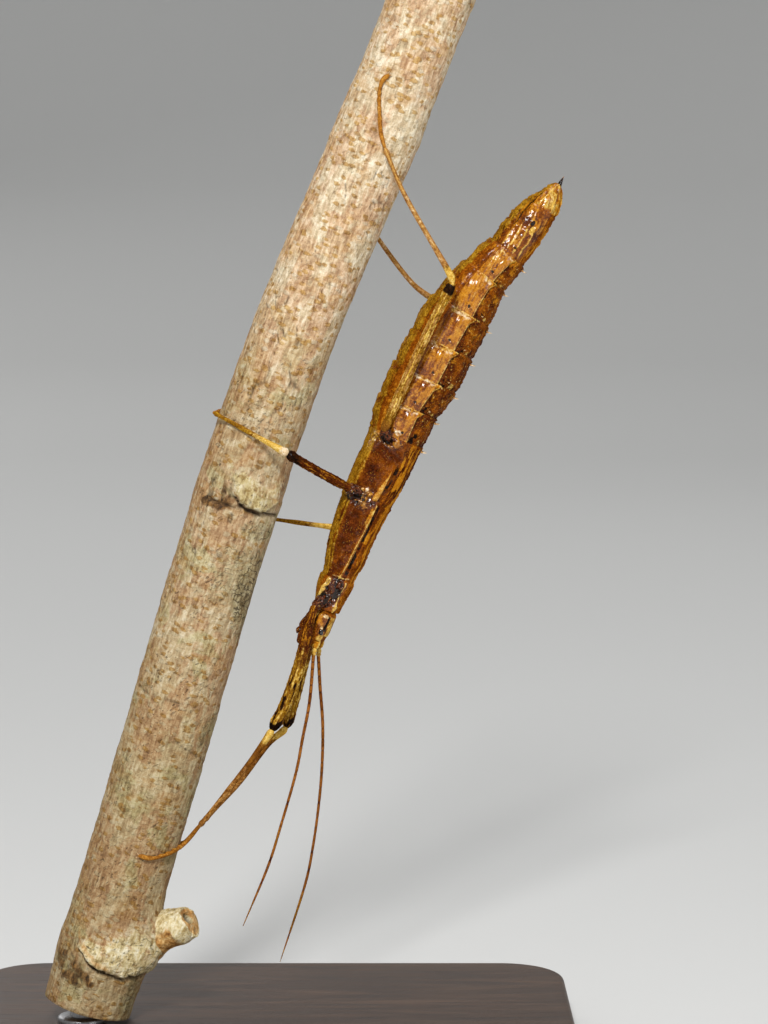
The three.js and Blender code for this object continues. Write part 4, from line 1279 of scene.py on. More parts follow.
SCAPE_RADII = [(0, 0.3), (0.15, 0.38), (0.5, 0.46), (0.8, 0.44), (0.95, 0.32), (1, 0.12)]
PEDICEL_RADII = [(0, 0.16), (0.15, 0.29), (0.6, 0.31), (0.9, 0.27), (1, 0.16)]
THREAD_RADII = [(0, 0.24), (0.1, 0.23), (0.5, 0.19), (0.9, 0.13), (1, 0.05)]


def scape_form(share, turn, along):
    flat = -0.16 * np.cos(turn) ** 2
    rim = hill(np.abs(np.sin(turn)) - 1, 0.3)
    middle = hill(np.sin(turn), 0.4) * band(share, 0.3, 0.85, 0.1)
    return flat + 0.05 * rim - 0.04 * middle, {
        "cream": 0.85 * rim + 0.6 * (1 - rise(share, 0.0, 0.2)),
        "chestnut": 0.7 * middle,
        "amber": 0.6,
        "pips": 0.5,
    }


def pedicel_form(share, turn, along):
    return 0.02 * np.sin(share * 20), {"cream": 0.8 - 0.4 * share, "chestnut": 0.4 * rise(share, 0.7, 1)}


def thread_form(share, turn, along):
    pitch = 0.9 + 1.0 * share
    notch = np.cos(2 * np.pi * along / pitch)
    swell = -0.03 * rise(notch, 0.8, 1.0) * (1 - 0.4 * share)
    shade = rough(along * 0.35, 0.0, 31.0)
    chestnut = 0.5 * rise(notch, 0.7, 1.0) + 0.2 * (1 - rise(share, 0.1, 0.4))
    chestnut = chestnut + 0.35 * rise(shade, 0.05, 0.4)
    return swell, {
        "chestnut": chestnut,
        "olive": 0.5 * rise(share, 0.4, 0.8) * rise(-shade, -0.3, 0.3),
    }


for antenna_side, (scape, pedicel, thread) in ANTENNAE.items():
    parts = [
        limb("scape", scape, SCAPE_RADII, (40,), 40, scape_form),
        limb("pedicel", pedicel, PEDICEL_RADII, (20,), 24, pedicel_form),
        limb("thread", thread, THREAD_RADII, (20, 20), 12, thread_form),
    ]
    nodes = (f"antenna_scape_{antenna_side}", f"antenna_thread_{antenna_side}")
    hand_in(join(f"{antenna_side}_antenna", parts), feeler_finish, "antenna", *nodes)

# ---------------------------------------------------------------------------------------------
# The branch's middle line, which the feet need
# ---------------------------------------------------------------------------------------------

BRANCH_FOOT = (-24.3, 0, 8.2)
BRANCH_KNOTS = [
    BRANCH_FOOT, (-14.2, 0, 42.3), (-5.75, 0, 70.7), (3.6, 0, 98.5), (14.6, 0, 124.6), (25, 0, 150.4),
]
branch_line = Line(BRANCH_KNOTS, up=(0, -1, 0))
BRANCH_LOW, BRANCH_HIGH = BRANCH_KNOTS[0][2], BRANCH_KNOTS[-1][2]
BRANCH_RADIUS_LOW, BRANCH_RADIUS_HIGH = 6.0, 5.5

# Each swelling of the branch: at what height, how much thicker, and how long.
BRANCH_SWELLINGS = [(17, 0.3, 4), (78, 0.15, 3), (125, 0.15, 4)]


def branch_radius(height):
    share = (height - BRANCH_LOW) / (BRANCH_HIGH - BRANCH_LOW)
    radius = BRANCH_RADIUS_LOW + (BRANCH_RADIUS_HIGH - BRANCH_RADIUS_LOW) * share
    for place, swell, long in BRANCH_SWELLINGS:
        radius = radius + swell * hill(height - place, long)
    return radius


def on_bark(height, turn, lift):
    """The place on the bark at that height, so far round from the front, and the way out of it there."""
    along = np.interp(height, branch_line.at[:, 2], branch_line.reach)
    angle = math.radians(turn)
    centre = branch_line.spot(along, 0, 0)
    heading = branch_line.here(branch_line.heading, along)
    side = np.array([heading[2], 0, -heading[0]])
    out = np.array([0, -1, 0]) * math.cos(angle) + side * math.sin(angle)
    return centre + out * (branch_radius(height) + lift), out


# ---------------------------------------------------------------------------------------------
# The legs
# ---------------------------------------------------------------------------------------------

# Places on each piece's middle line.
# Those of a foot are a height, an angle round the branch, and how far off the bark.
LEGS = {
    ("front", "right"): dict(
        hip=(8.6, -1.2, 64.8),
        trochanter=(6.7, -2.8, 62.9),
        femur=[(5.95, -2.9, 60.5), (5.4, -2.9, 57.9), (4.36, -2.6, 54.2), (2.95, -2.2, 50.2)],
        knee=(1.0, -1.8, 46.3),
        tibia=[(-2.2, -1.9, 41.7)],
        ankle=(-8.85, -2.2, 33.25),
        foot=[(32.5, 82, 0.6), (31.5, 55, 0.4), (30.9, 40, 0.4), (30.4, 25, 0.4), (30.4, 10, 0.4)],
    ),
    ("front", "left"): dict(
        hip=(8.4, 1.2, 64.5),
        trochanter=(7.3, 2.8, 62.8),
        femur=[(6.2, 2.8, 59.5), (5.5, 2.5, 56.5), (4.6, 2.2, 53), (3.65, 1.9, 49.3)],
        knee=(2.75, 1.6, 46.1),
        tibia=[(0.6, 1.7, 44.15), (-3.6, 2.1, 38.5)],
        ankle=(-8.6, 2.5, 33),
        foot=[(32, 106, 0.6), (31.2, 128, 0.4), (30.8, 148, 0.4), (30.7, 168, 0.4)],
    ),
    ("mid", "right"): dict(
        hip=(13.4, -2, 77.9),
        trochanter=(11.2, -3.7, 79.1),
        femur=[(7.5, -6.2, 81.3), (5.6, -7.5, 82.5)],
        knee=(3.4, -9, 83.95),
        tibia=[],
        ankle=(-6.5, -3.6, 89),
        foot=[(86.9, -80, 0.5), (87, -100, 0.4), (87.4, -122, 0.4), (88, -145, 0.4)],
    ),
    ("mid", "left"): dict(
        hip=(13.6, 2, 77.2),
        trochanter=(13, 4.1, 76.6),
        femur=[],
        knee=(10.3, 12.8, 72.2),
        tibia=[],
        ankle=(0.2, 7, 74),
        foot=[(75.3, 157, 0.7), (75.6, 172, 0.4), (75.6, 188, 0.4), (75.2, 205, 0.4)],
    ),
    ("hind", "right"): dict(
        hip=(16.6, -2.4, 85),
        trochanter=(16.1, -4.4, 87),
        femur=[(21.5, -6.9, 99.2)],
        knee=(25, -8, 106.3),
        tibia=[(18.5, -7.2, 118)],
        ankle=(16.1, -6.7, 123.7),
        foot=[(125.8, 5, 0.5), (127.8, -5, 0.4), (130.3, -16, 0.4), (131.8, -18, 0.4), (132.7, -13, 0.4)],
    ),
    ("hind", "left"): dict(
        hip=(16.9, 2.4, 84.6),
        trochanter=(17, 4.7, 86.2),
        femur=[],
        knee=(23.4, 14.8, 103),
        tibia=[(20, 12, 105.8)],
        ankle=(12, 6.9, 116.4),
        foot=[(118.5, 176, 0.5), (121, 178, 0.4), (123.5, 180, 0.4), (125.5, 182, 0.4)],
    ),
}

# The radius of each pair's pieces at their thickest. bulb is how much thicker than its shin a knee's bulb is.
LEG_SIZES = {
    "front": dict(coxa=0.85, trochanter=0.56, femur=0.74, knee=0.62, tibia=0.4, bulb=1.22, ankle=0.32),
    "mid": dict(coxa=0.95, trochanter=0.6, femur=0.57, knee=0.54, tibia=0.4, bulb=1.4, ankle=0.27),
    "hind": dict(coxa=0.9, trochanter=0.6, femur=0.55, knee=0.52, tibia=0.38, bulb=1.22, ankle=0.3),
}
FOOT_RADIUS = 0.26


def coxa_form(share, turn, along):
    folds = rough(along * 2.2, np.cos(turn) * 2, np.sin(turn) * 2)
    winding = np.abs(rough(along * 1.2, np.cos(turn) * 1.3, 70 + np.sin(turn) * 1.3))
    sinuous = 1 - np.clip(winding * 4.0, 0, 1)
    collar = hill(share - 0.86, 0.06)
    relief = 0.1 * folds + 0.24 * sinuous**0.8 - 0.12 + 0.12 * collar
    return relief, {
        "soot": 0.9 * rise(-sinuous - 0.4 * folds, -0.5, -0.1) - 0.4 * collar,
        "cream": 0.4 * collar * rise(folds, -0.1, 0.3),
        "tan": 0.65 * rise(sinuous, 0.8, 0.98) * rise(folds, -0.3, 0.1),
        "chestnut": 0.6 * rise(share, 0.7, 1.0) + 0.7 * rise(sinuous, 0.3, 0.7),
    }


def ridged(turn, count, sharp):
    """Round the leg: 1 on each of its long ridges, 0 in the hollows between."""
    return np.clip(np.cos(count * turn), 0, 1) ** sharp


def femur_form(pair, side):
    """A thigh with four saw-edged ridges and two lobes at the knee, marked as its pair is."""

    def form(share, turn, along):
        ridges = ridged(turn, 4, 3.0)
        hollow = 1 - ridged(turn, 4, 1.0)
        wobble = rough(along * 1.1, np.cos(turn) * 0.7, np.sin(turn) * 0.7)
        dashes = rough(along * 0.9, np.cos(turn) * 2.4, 40 + np.sin(turn) * 2.4)
        saw = 0.05 * ridges * np.clip(np.sin(along * 2 * np.pi / 1.1), 0, 1) ** 3
        lobes = hill(share - 0.985, 0.025) * np.abs(np.sin(turn)) ** 2
        relief = 0.09 * (ridges - 0.4) * band(share, 0.04, 0.95, 0.03) + saw + 0.1 * lobes + 0.03 * wobble
        marks = {"fleck": 0.35, "pips": 0.3}
        if pair == "front":
            knee_soot = 0.95 if side == "right" else 0.4
            grown = rise(share, 0.2, 0.5)
            dark_dashes = rise(-dashes, 0.03, 0.22) * rise(share, 0.32, 0.6) * (1 - 0.6 * ridges)
            marks["chestnut"] = 0.6 * (1 - grown) * (0.9 + 0.9 * dashes) + 0.45 * hollow
            marks["amber"] = 0.5 * (1 - grown) * rise(-dashes, 0.0, 0.25)
            marks["tan"] = 0.35 * (1 - grown) * rise(dashes, 0.15, 0.35)
            marks["olive"] = 0.7 * grown * rise(dashes, -0.25, 0.1)
            marks["cream"] = grown * (0.75 * ridges * (0.7 + 0.8 * wobble) + 0.6 * rise(dashes, 0.15, 0.4))
            marks["soot"] = knee_soot * rise(share, 0.93, 0.965) + 0.8 * dark_dashes
        elif pair == "mid":
            marks["chestnut"] = 0.95 * rise(dashes + wobble, -0.6, -0.1)
            marks["amber"] = 0.5 * rise(-dashes, 0.1, 0.35) * band(share, 0.1, 0.8, 0.1)
            marks["soot"] = 0.75 * rise(share, 0.66, 0.95) * (0.8 + 0.7 * wobble)
            marks["soot"] += 0.55 * rise(dashes, 0.08, 0.35)
            marks["olive"] = 0.35 * rise(-dashes, 0.2, 0.4) * rise(share, 0.3, 0.5)
        else:
            marks["olive"] = (0.6 + 0.5 * wobble) * rise(share, 0.0, 0.1)
            marks["cream"] = (0.55 * ridges + 0.55 * rise(-dashes, 0.05, 0.35)) * rise(share, 0.04, 0.12)
            marks["soot"] = 0.98 * band(share, 0.925, 0.985, 0.012) + 0.35 * rise(dashes, 0.15, 0.4) * hollow
            marks["amber"] = 0.5 * band(share, 0.1, 0.7, 0.1) * (0.8 + 0.8 * wobble)
            marks["tan"] = 0.6 * band(share, 0.1, 0.85, 0.08) * rise(wobble - 0.4 * ridges, -0.4, 0.1)
            marks["chestnut"] = 0.6 * hill(turn - 1.7, 0.45)
        marks["soot"] -= 0.6 * (1 - rise(share, 0.03, 0.12))
        return relief, marks

    return form


def tibia_form(pair):
    """A shin with four low ridges, pale below the knee, marked as its pair is."""

    def form(share, turn, along):
        ridges = ridged(turn, 4, 2.0)
        wobble = rough(along * 0.8, np.cos(turn) * 0.7, 50 + np.sin(turn) * 0.7)
        relief = 0.035 * (ridges - 0.4) * band(share, 0.06, 0.97, 0.03) + 0.015 * wobble
        marks = {"fleck": 0.3}
        if pair == "hind":
            marks["cream"] = 0.95 * (1 - rise(share, 0.05, 0.16)) + 0.5 * ridges * rise(share, 0.1, 0.3)
            marks["tan"] = 0.85 * rise(share, 0.06, 0.16) * (0.95 + 0.4 * wobble)
            worn = rise(share, 0.1, 0.2) * (1 - rise(share, 0.6, 0.9))
            marks["pale"] = 0.35 * worn * rise(wobble, -0.2, 0.3)
        elif pair == "mid":
            marks["pale"] = 0.75 * (1 - rise(share, 0.03, 0.14))
            marks["cream"] = 0.95 * (1 - rise(share, 0.15, 0.65))
            marks["olive"] = 0.7 * rise(share, 0.25, 0.6) * (0.9 + 0.5 * wobble)
        else:
            marks["cream"] = 0.7 * (1 - rise(share, 0.08, 0.18)) * (0.9 + 0.5 * wobble) + 0.2 * ridges
            marks["olive"] = 0.5 * (1 - rise(share, 0.1, 0.25))
            marks["chestnut"] = 0.45 * band(share, 0.16, 0.5, 0.06) * (0.8 + 0.7 * wobble)
            marks["tan"] = 0.55 * rise(share, 0.2, 0.5) * (0.8 + 0.8 * wobble)
            marks["amber"] = 0.3 * rise(share, 0.7, 1.0)
        return relief, marks

    return form


# Where along the foot its joints are, as shares of its length.
FOOT_JOINTS = [0.42, 0.56, 0.67, 0.76]


def foot_form(share, turn, along):
    """A foot of five pieces, with a pad under the end of each."""
    nearest = np.min([np.abs(share - joint) for joint in FOOT_JOINTS], axis=0)
    pads = sum(hill(share - joint + 0.035, 0.03) for joint in FOOT_JOINTS)
    under = np.clip(-np.cos(turn), 0, 1)
    relief = 0.1 * pads * under + 0.03 * pads - 0.035 * hill(nearest, 0.012) + 0.07 * rise(share, 0.9, 0.97)
    return relief, {
        "amber": 0.25,
        "chestnut": 0.25 * hill(nearest, 0.015) + 0.3 * rise(share, 0.9, 1.0),
        "cream": 0.3 * pads,
    }


def way_from(start, end):
    way = np.array(end, float) - start
    return way / np.linalg.norm(way)


def lay_coxa(leg, size):
    hip, trochanter = np.array(leg["hip"], float), np.array(leg["trochanter"], float)
    knots = [hip, (hip + trochanter) / 2 + (trochanter - hip) * 0.1, trochanter]
    coxa, end = size["coxa"], size["trochanter"]
    radii = [(0, coxa * 0.8), (0.35, coxa), (0.75, coxa * 0.8), (1, end * 0.7)]
    return limb("coxa", knots, radii, (60,), 64, coxa_form)


def femur_knots(leg):
    """The femur's line, which starts a little way inside the coxa's end."""
    trochanter = np.array(leg["trochanter"], float)
    knots = [*leg["femur"], leg["knee"]]
    return [trochanter - way_from(trochanter, knots[0]) * 0.35, *knots]


def lay_femur(leg, size, form):
    root, middle, knee = size["trochanter"], size["femur"], size["knee"]
    radii = [
        (0, root * 0.7), (0.03, root), (0.06, root * 0.86), (0.14, (middle + root) / 2),
        (0.45, middle), (0.85, middle * 0.98), (0.97, knee), (1, knee * 0.45),
    ]
    return limb("femur", femur_knots(leg), radii, (16, 16), 48, form)


def lay_tibia(leg, size, form):
    """It leaves the knee in line with the femur, then bends to its own way. Its start is a bulb."""
    knee = np.array(leg["knee"], float)
    knee_way = way_from(femur_knots(leg)[-2], knee)
    tibia_way = way_from(knee, leg["tibia"][0] if leg["tibia"] else leg["ankle"])
    second = knee + tibia_way * 0.55 + knee_way * 0.12
    knots = [knee - knee_way * 0.1, second, *leg["tibia"], leg["ankle"]]
    middle, bulb, ankle = size["tibia"], size["tibia"] * size["bulb"], size["ankle"]
    radii = [
        (0, middle * 0.75), (0.03, bulb), (0.08, bulb * 0.92), (0.2, middle * 0.95),
        (0.6, middle * 0.8), (0.93, ankle * 0.95), (0.98, ankle * 1.1), (1, ankle * 0.6),
    ]
    return limb("tibia", knots, radii, (16, 12), 32, form)


def lay_foot(leg):
    """The foot with its two claws."""
    spots = [on_bark(*place) for place in leg["foot"]]
    knots = [leg["ankle"], *[place for place, _ in spots]]
    first_out, last_out = spots[0][1], spots[-1][1]
    thick = FOOT_RADIUS
    radii = [(0, 0.2), (0.04, thick * 0.9), (0.4, thick), (0.8, thick * 0.92), (0.96, thick), (1, 0.1)]
    foot = limb("foot", knots, radii, (16, 10), 24, foot_form, up=first_out)
    line = Line(knots, up=first_out)
    tip = line.spot(line.length - 0.1, 0, 0)
    heading = line.heading[-1]
    sideways = np.cross(heading, last_out)
    claws = []
    for claw_side in (-1, 1):
        claw_way = heading * 0.8 + sideways * claw_side * 0.65 + last_out * 0.1
        claws.append(thorn("claw", tip, claw_way, 0.6, 0.11, lean=-last_out * 0.28))
    return [foot, *claws]


for (pair, leg_side), leg in LEGS.items():
    name = f"{pair}_{leg_side}"
    size = LEG_SIZES[pair]
    for piece, parts, finish, slot, node in (
        ("coxa", [lay_coxa(leg, size)], joint_finish, "dark_cuticle", "coxa"),
        ("femur", [lay_femur(leg, size, femur_form(pair, leg_side))], leg_finish, "leg_cuticle", "femur"),
        ("tibia", [lay_tibia(leg, size, tibia_form(pair))], leg_finish, "leg_cuticle", "tibia"),
        ("foot", lay_foot(leg), foot_finish, "foot_cuticle", "tarsus"),
    ):
        hand_in(join(f"{name}_{piece}", parts), finish, slot, f"{node}_{name}")

# ---------------------------------------------------------------------------------------------
# The branch
# ---------------------------------------------------------------------------------------------

# How much of the line the sawn ends take at each end, and the share of the tube's rings that lies on them.
CAP = 1.2
CAP_SHARE = 0.02

TWIG_KNOTS = [
    (-22.3, 0.3, 16.7), (-20.5, 0, 17.2), (-15.6, -0.9, 18.3), (-12.5, -1.9, 19.4), (-9.9, -2.6, 20.4),
]
TWIG_RADII = [(0, 4.2), (0.25, 4.2), (0.42, 3.7), (0.62, 2.8), (0.85, 2.35), (1, 2.15)]

# The hollow of the twig's end: the share of the tube's rings before it, its width, and how it narrows.
HOLLOW_START = 0.8
HOLLOW_RADIUS = 2.05
HOLLOW_RADII = [(0, 1.0), (0.25, 0.74), (0.5, 0.42), (0.9, 0.28), (1, 0.12)]


def bark_relief(along, arc, seed):
    relief = 0.16 * rough(along * 0.32, arc * 0.55, seed)
    relief += 0.08 * rough(along * 0.9, arc * 1.3, seed + 5)
    relief += 0.05 * rough(along * 2.6, arc * 2.9, seed + 11)
    far, own = pebbles(along / 1.1 + 0.3 * arc + 0.25 * rough(along * 0.8, arc * 0.8, seed), arc / 1.3)
    return relief + 0.09 * (own - 0.5) - 0.05 * rise(far, 0.5, 0.8)


def scar_over_crack(over_lip, turn_share, reach):
    """A pale swelling with an overhanging lower lip, and the crack under the lip, whose dark is partly the
    crack's own and partly painted shadow of the lip.
    """
    swelling = rise(over_lip, -0.2, 0.12) * (1 - rise(over_lip, reach * 0.3, reach)) * turn_share
    crack = band(over_lip, -0.5, -0.12, 0.12) * rise(turn_share, 0.5, 1.0)
    return swelling, crack


class BarkSpots:
    """Where the spots of the bark lie: their height, their angle from the front, and how far out they are."""

    def __init__(self, along, turn):
        self.along = along
        self.height = np.interp(along, branch_line.reach, branch_line.at[:, 2])
        self.degrees = np.degrees(turn)
        self.radius = branch_radius(self.height)
        self.arc = turn * self.radius
        self.round_x = np.cos(turn) * self.radius
        self.round_y = np.sin(turn) * self.radius
        self.wander = 0.3 * rough(self.arc * 0.6, 0.0, 4.0)
        self.fray = rough(along * 1.1, self.arc * 1.1, 60.0)

    def oval(self, place, angle, tall, wide):
        """1 in the middle of an oval patch that is so tall and so wide, 0 outside."""
        gap = (self.degrees - angle + 180) % 360 - 180
        aside = np.radians(gap) * self.radius
        return 1 - rise(np.hypot((self.height - place) / tall, aside / wide), 0.5, 1.1)


def upper_knot(bark):
    """An old knot with folds in its swelling: its strength, its crack, its relief and its brown."""
    over_lip = bark.height - 77.0 - 0.0014 * (bark.degrees - 27) ** 2 - bark.wander
    scar, crack = scar_over_crack(over_lip + 0.25 * bark.fray, band(bark.degrees, -8, 58, 14), 5.4)
    crack = np.maximum(crack, hill(bark.height - 76.9 - bark.wander, 0.17) * band(bark.degrees, -38, 82, 6))
    folds = np.sin(bark.arc * 2.2 + 1.6 * over_lip + 3 * bark.fray)
    relief = scar * (0.9 - 0.15 * np.clip(over_lip, 0, 5) + 0.14 * folds + 0.08 * bark.fray)
    brown = 0.5 * scar * rise(-folds, 0.5, 0.95)
    brown += 0.5 * hill(bark.height - 76.4, 0.5) * band(bark.degrees, -50, 40, 8)
    return scar, crack, relief, brown


def lower_knot(bark):
    """An old knot at the twig's root: its strength, its crack, its relief, its honey and its bleaching."""
    height, degrees, fray = bark.height, bark.degrees, bark.fray
    past = degrees - 20
    over_lip = height - 15.5 - 0.0011 * np.minimum(past, 0) ** 2 - 0.0003 * np.maximum(past, 0) ** 2
    above = np.clip(over_lip, 0, 9)
    turn_share = rise(degrees + 36 - 7 * above, -9, 9 + 5 * above) * (1 - rise(degrees, 91, 109))
    scar, crack = scar_over_crack(over_lip - bark.wander + 0.35 * fray, turn_share, 10.0)
    swirl = rough(bark.along * 0.5, bark.arc * 0.9 + 0.3 * bark.along, 88.0)
    sweep = np.sin(1.5 * over_lip - 0.045 * degrees + 2.6 * fray + 3.0 * swirl)
    pleats = np.sin(2 * np.pi * (over_lip + 0.5 * fray) / 1.05) * (1 - rise(over_lip, 2.5, 5.0))
    relief = scar * (0.6 - 0.05 * above + 0.08 * fray + 0.12 * swirl + 0.12 * sweep)
    relief += 0.13 * scar * pleats * (1 - rise(degrees, 0, 40))
    relief += 1.5 * hill(np.hypot(height - 19.6, np.radians(degrees - 66) * bark.radius), 3.4)
    honey = 0.6 * hill(over_lip - 0.5 - 0.3 * fray, 0.7) * band(degrees, -40, 20, 8)
    bleached = 0.8 * scar * rise(-sweep + 0.5 * fray, 0.5, 1.0)
    return scar, crack, relief, honey, bleached


def fine_cracks(bark):
    """Three cracks across the bark, and thin ones along it here and there."""
    height, degrees, wander = bark.height, bark.degrees, bark.wander
    across = hill(height - 51.2 - 1.3 * wander - 0.25 * bark.fray, 0.09) * band(degrees, -75, 24, 5)
    across += hill(height - 46 + 0.034 * (degrees - 20) - 1.2 * wander, 0.09) * band(degrees, 15, 95, 5)
    across += hill(height - 147 + 0.1 * (degrees - 30) - wander, 0.1) * band(degrees, 20, 85, 5)
    lengthwise = hill(rough(bark.round_x * 0.3, bark.round_y * 0.3, bark.along * 0.13), 0.012)
    here = rise(rough(bark.round_x * 0.2, bark.round_y * 0.2, 77 + bark.along * 0.07), 0.1, 0.3)
    return np.clip(lengthwise * here + across, 0, 1)


def branch_form(along, turn):
    bark = BarkSpots(along, turn)
    height, degrees, fray = bark.height, bark.degrees, bark.fray
    upper, upper_crack, upper_relief, upper_brown = upper_knot(bark)
    lower, lower_crack, lower_relief, honey, bleached = lower_knot(bark)
    thin = fine_cracks(bark)

    # A rough brown patch to the left of each knot.
    brown = np.maximum(bark.oval(77.6, -30, 2.6, 3.6), bark.oval(15.4, -42, 3.2, 3.0))
    brown = np.maximum(brown, bark.oval(13.9, -18, 1.5, 2.6))
    pleats = np.sin(bark.arc * 2.6 + 4 * fray)
    relief = 0.5 * bark_relief(along, bark.round_x, 3.0) + 0.5 * bark_relief(along, bark.round_y, 23.0)
    relief += upper_relief + lower_relief + brown * (0.3 * fray + 0.1 * pleats)
    relief -= 0.45 * (upper_crack + lower_crack) + 0.12 * thin

    # The sawn ends: the last stretch of the tube folds in to close them.
    close = np.minimum(np.clip(along / CAP, 0, 1), np.clip((branch_line.length - along) / CAP, 0, 1))
    bark.radius = (bark.radius + relief * rise(close, 0.8, 1.0)) * np.where(close < 0.999, close, 1.0)

    drift = rough(along * 0.12, degrees / 50, 33.0)
    weathered = band(degrees, 44, 110, 14) * (0.35 + 0.9 * drift)
    weathered += 0.6 * band(height, 64, 73, 2) * band(degrees, -5, 80, 12)
    weathered += 0.5 * bark.oval(81.6, 26, 2.0, 2.0) + 0.6 * bark.oval(74.6, 44, 1.8, 4.0)
    # Painted shade: the bark darker towards the bottom, less on the lower knot's swelling.
    painted_shade_low_down = 0.7 * (1 - rise(height, 85, 108)) + 0.4 * (1 - rise(height, 40, 62))
    crack = np.clip(upper_crack + lower_crack, 0, 1) + 0.7 * thin + 0.6 * brown * rise(pleats, 0.75, 0.98)
    marks = {
        "callus": np.clip(upper + lower, 0, 1) * (0.85 + 0.6 * fray),
        "lichen": 0.2 + 0.8 * (1 - rise(height, 88, 106)),
        "painted_shade_low_down": painted_shade_low_down * (1 - 0.8 * lower),
        "brown": upper_brown + brown * (0.55 + 0.9 * fray),
        "honey": honey + 0.4 * bark.oval(18.5, 52, 1.6, 1.8),
        "crack": crack,
        "weathered": weathered * (1 - upper) + bleached,
        "ochre": 0.7 * band(degrees, -120, -50, 14) + 0.55 * band(height, 80, 98, 3) + 0.6 * drift,
        "cut_wood": (close < 0.93) * 1.0,
        "wood_ring": close,
    }
    return bark.radius * np.cos(turn), bark.radius * np.sin(turn), marks


def lay_branch():
    """Laid like any skin, but the ends of its tube are turned in flat to make the sawn faces."""
    piece = tube("branch", (24, 20), 180)
    ring, turn, rim = round_the_tube(piece)
    length = branch_line.length
    along = np.interp(ring, [0, CAP_SHARE, 1 - CAP_SHARE, 1], [0, CAP, length - CAP, length])
    up, side, marks = branch_form(along, turn)
    flat = np.clip(along, CAP * 0.98, length - CAP * 0.98)
    stretched = (flat - CAP) / (length - 2 * CAP) * length
    move_corners(piece, branch_line.spot(np.clip(stretched, 0, length), up * rim, side * rim) * MM)
    mark(piece, marks)
    return piece


def twig_form(share, turn, along):
    relief = bark_relief(along * 1.6, np.sin(turn) * 2.4, 90.0) * 0.9
    relief += 0.25 * rough(along * 0.7, np.cos(turn), np.sin(turn) * 2)
    relief += 1.1 * hill(turn - 1.5, 0.9) * (1 - rise(share, 0.38, 0.8))
    relief = relief * rise(1 - share, 0.0, 0.08) + 0.2 * hill(share - 0.82, 0.08)
    fray = rough(along, np.cos(turn) * 2, np.sin(turn) * 2)
    honey = 0.95 * band(share, 0.36, 0.84, 0.06) * hill(turn - 0.9, 0.95)
    honey += 0.3 * rise(share, 0.6, 0.8) * rise(fray, 0.0, 0.4)
    brown = 0.6 * rise(fray, 0.15, 0.45) * band(share, 0.2, 0.5, 0.08)
    brown += 0.5 * hill(turn + 1.3, 0.6) * rise(share, 0.75, 0.9)
    return relief, {
        "callus": 0.6 * (1 - rise(share, 0.4, 0.6)) + 0.95 * rise(share, 0.5, 0.66) * (0.95 + 0.4 * fray),
        # Painted shade: the twig, low on the branch, is darkened all along except at its broken end.
        "painted_shade_low_down": 1.0 - 0.9 * rise(share, 0.45, 0.62),
        "honey": honey,
        "brown": brown,
        "crack": 0.8 * hill(share - 0.62, 0.012) * rise(np.sin(turn * 2), -0.2, 0.5),
    }


def lay_twig():
    """The broken twig: a skin whose end folds in on itself to make the hollow of the rotten pith."""
    line = Line(TWIG_KNOTS, up=(0, -1, 0.2))
    piece = tube("twig", (12, 10), 96)
    ring, turn, rim = round_the_tube(piece)
    outer = np.clip(ring / HOLLOW_START, 0, 1)
    inner = np.clip((ring - HOLLOW_START) / (1 - HOLLOW_START), 0, 1)
    extra, marks = twig_form(outer, turn, line.length * outer)

    # The broken rim is ragged and slants.
    ragged = 0.7 * rough(np.cos(turn) * 2.2, np.sin(turn) * 2.2, 5.0)
    slant = 0.45 * np.sin(turn) - 0.4 * np.cos(turn)
    along = line.length * (outer - 0.17 * rise(inner, 0.35, 1.0))
    along += ragged * hill(inner - 0.1, 0.3) * rise(ring, 0.7, 0.8) + slant * rise(ring, 0.5, 0.8)
    hollow = HOLLOW_RADIUS * table(inner, HOLLOW_RADII) * (1 + 0.25 * ragged)
    radius = np.where(ring > HOLLOW_START, hollow, table(outer, TWIG_RADII) + extra)
    up = radius * np.cos(turn)
    side = radius * np.sin(turn) * rim - 0.5 * rise(inner, 0.1, 0.6)
    marks["crack"] = np.maximum(marks["crack"], 0.95 * rise(inner, 0.55, 0.85))
    marks["honey"] = np.maximum(marks["honey"], 0.7 * band(inner, 0.05, 0.6, 0.05))
    move_corners(piece, line.spot(along, up * rim, side) * MM)
    mark(piece, marks)
    return piece


hand_in(join("branch_bark", [lay_branch(), lay_twig()]), bark_finish, "bark", "perch_branch")

# ---------------------------------------------------------------------------------------------
# The display stand
# ---------------------------------------------------------------------------------------------

BASE_LENGTH, BASE_WIDTH, BASE_THICK = 84, 68, 6
BASE_CORNER, BASE_EDGE = 9, 0.8
ROD_RADIUS = 2


def upright(edge):
    return abs(edge.verts[0].co.z - edge.verts[1].co.z) > 1e-5


def base_plate():
    bpy.ops.object.select_all(action="DESELECT")
    bpy.ops.mesh.primitive_cube_add(size=1, location=(0, 0, BASE_THICK * MM / 2))
    plate = bpy.context.object
    plate.scale = (BASE_LENGTH * MM, BASE_WIDTH * MM, BASE_THICK * MM)
    bpy.ops.object.transform_apply(location=True, rotation=True, scale=True)
    bpy.ops.object.mode_set(mode="EDIT")
    bpy.ops.mesh.select_mode(type="EDGE")
    bpy.ops.mesh.select_all(action="DESELECT")
    shape = bmesh.from_edit_mesh(plate.data)
    for edge in shape.edges:
        edge.select = upright(edge)
    bmesh.update_edit_mesh(plate.data)
    bpy.ops.mesh.bevel(offset=BASE_CORNER * MM, segments=14, affect="EDGES")
    bpy.ops.mesh.select_all(action="DESELECT")
    shape = bmesh.from_edit_mesh(plate.data)
    for edge in shape.edges:
        edge.select = not upright(edge)
    bmesh.update_edit_mesh(plate.data)
    bpy.ops.mesh.bevel(offset=BASE_EDGE * MM, segments=5, affect="EDGES")
    bpy.ops.object.mode_set(mode="OBJECT")
    bpy.ops.object.shade_smooth_by_angle(angle=math.radians(40))
    plate.name = "base_plate"
    return plate


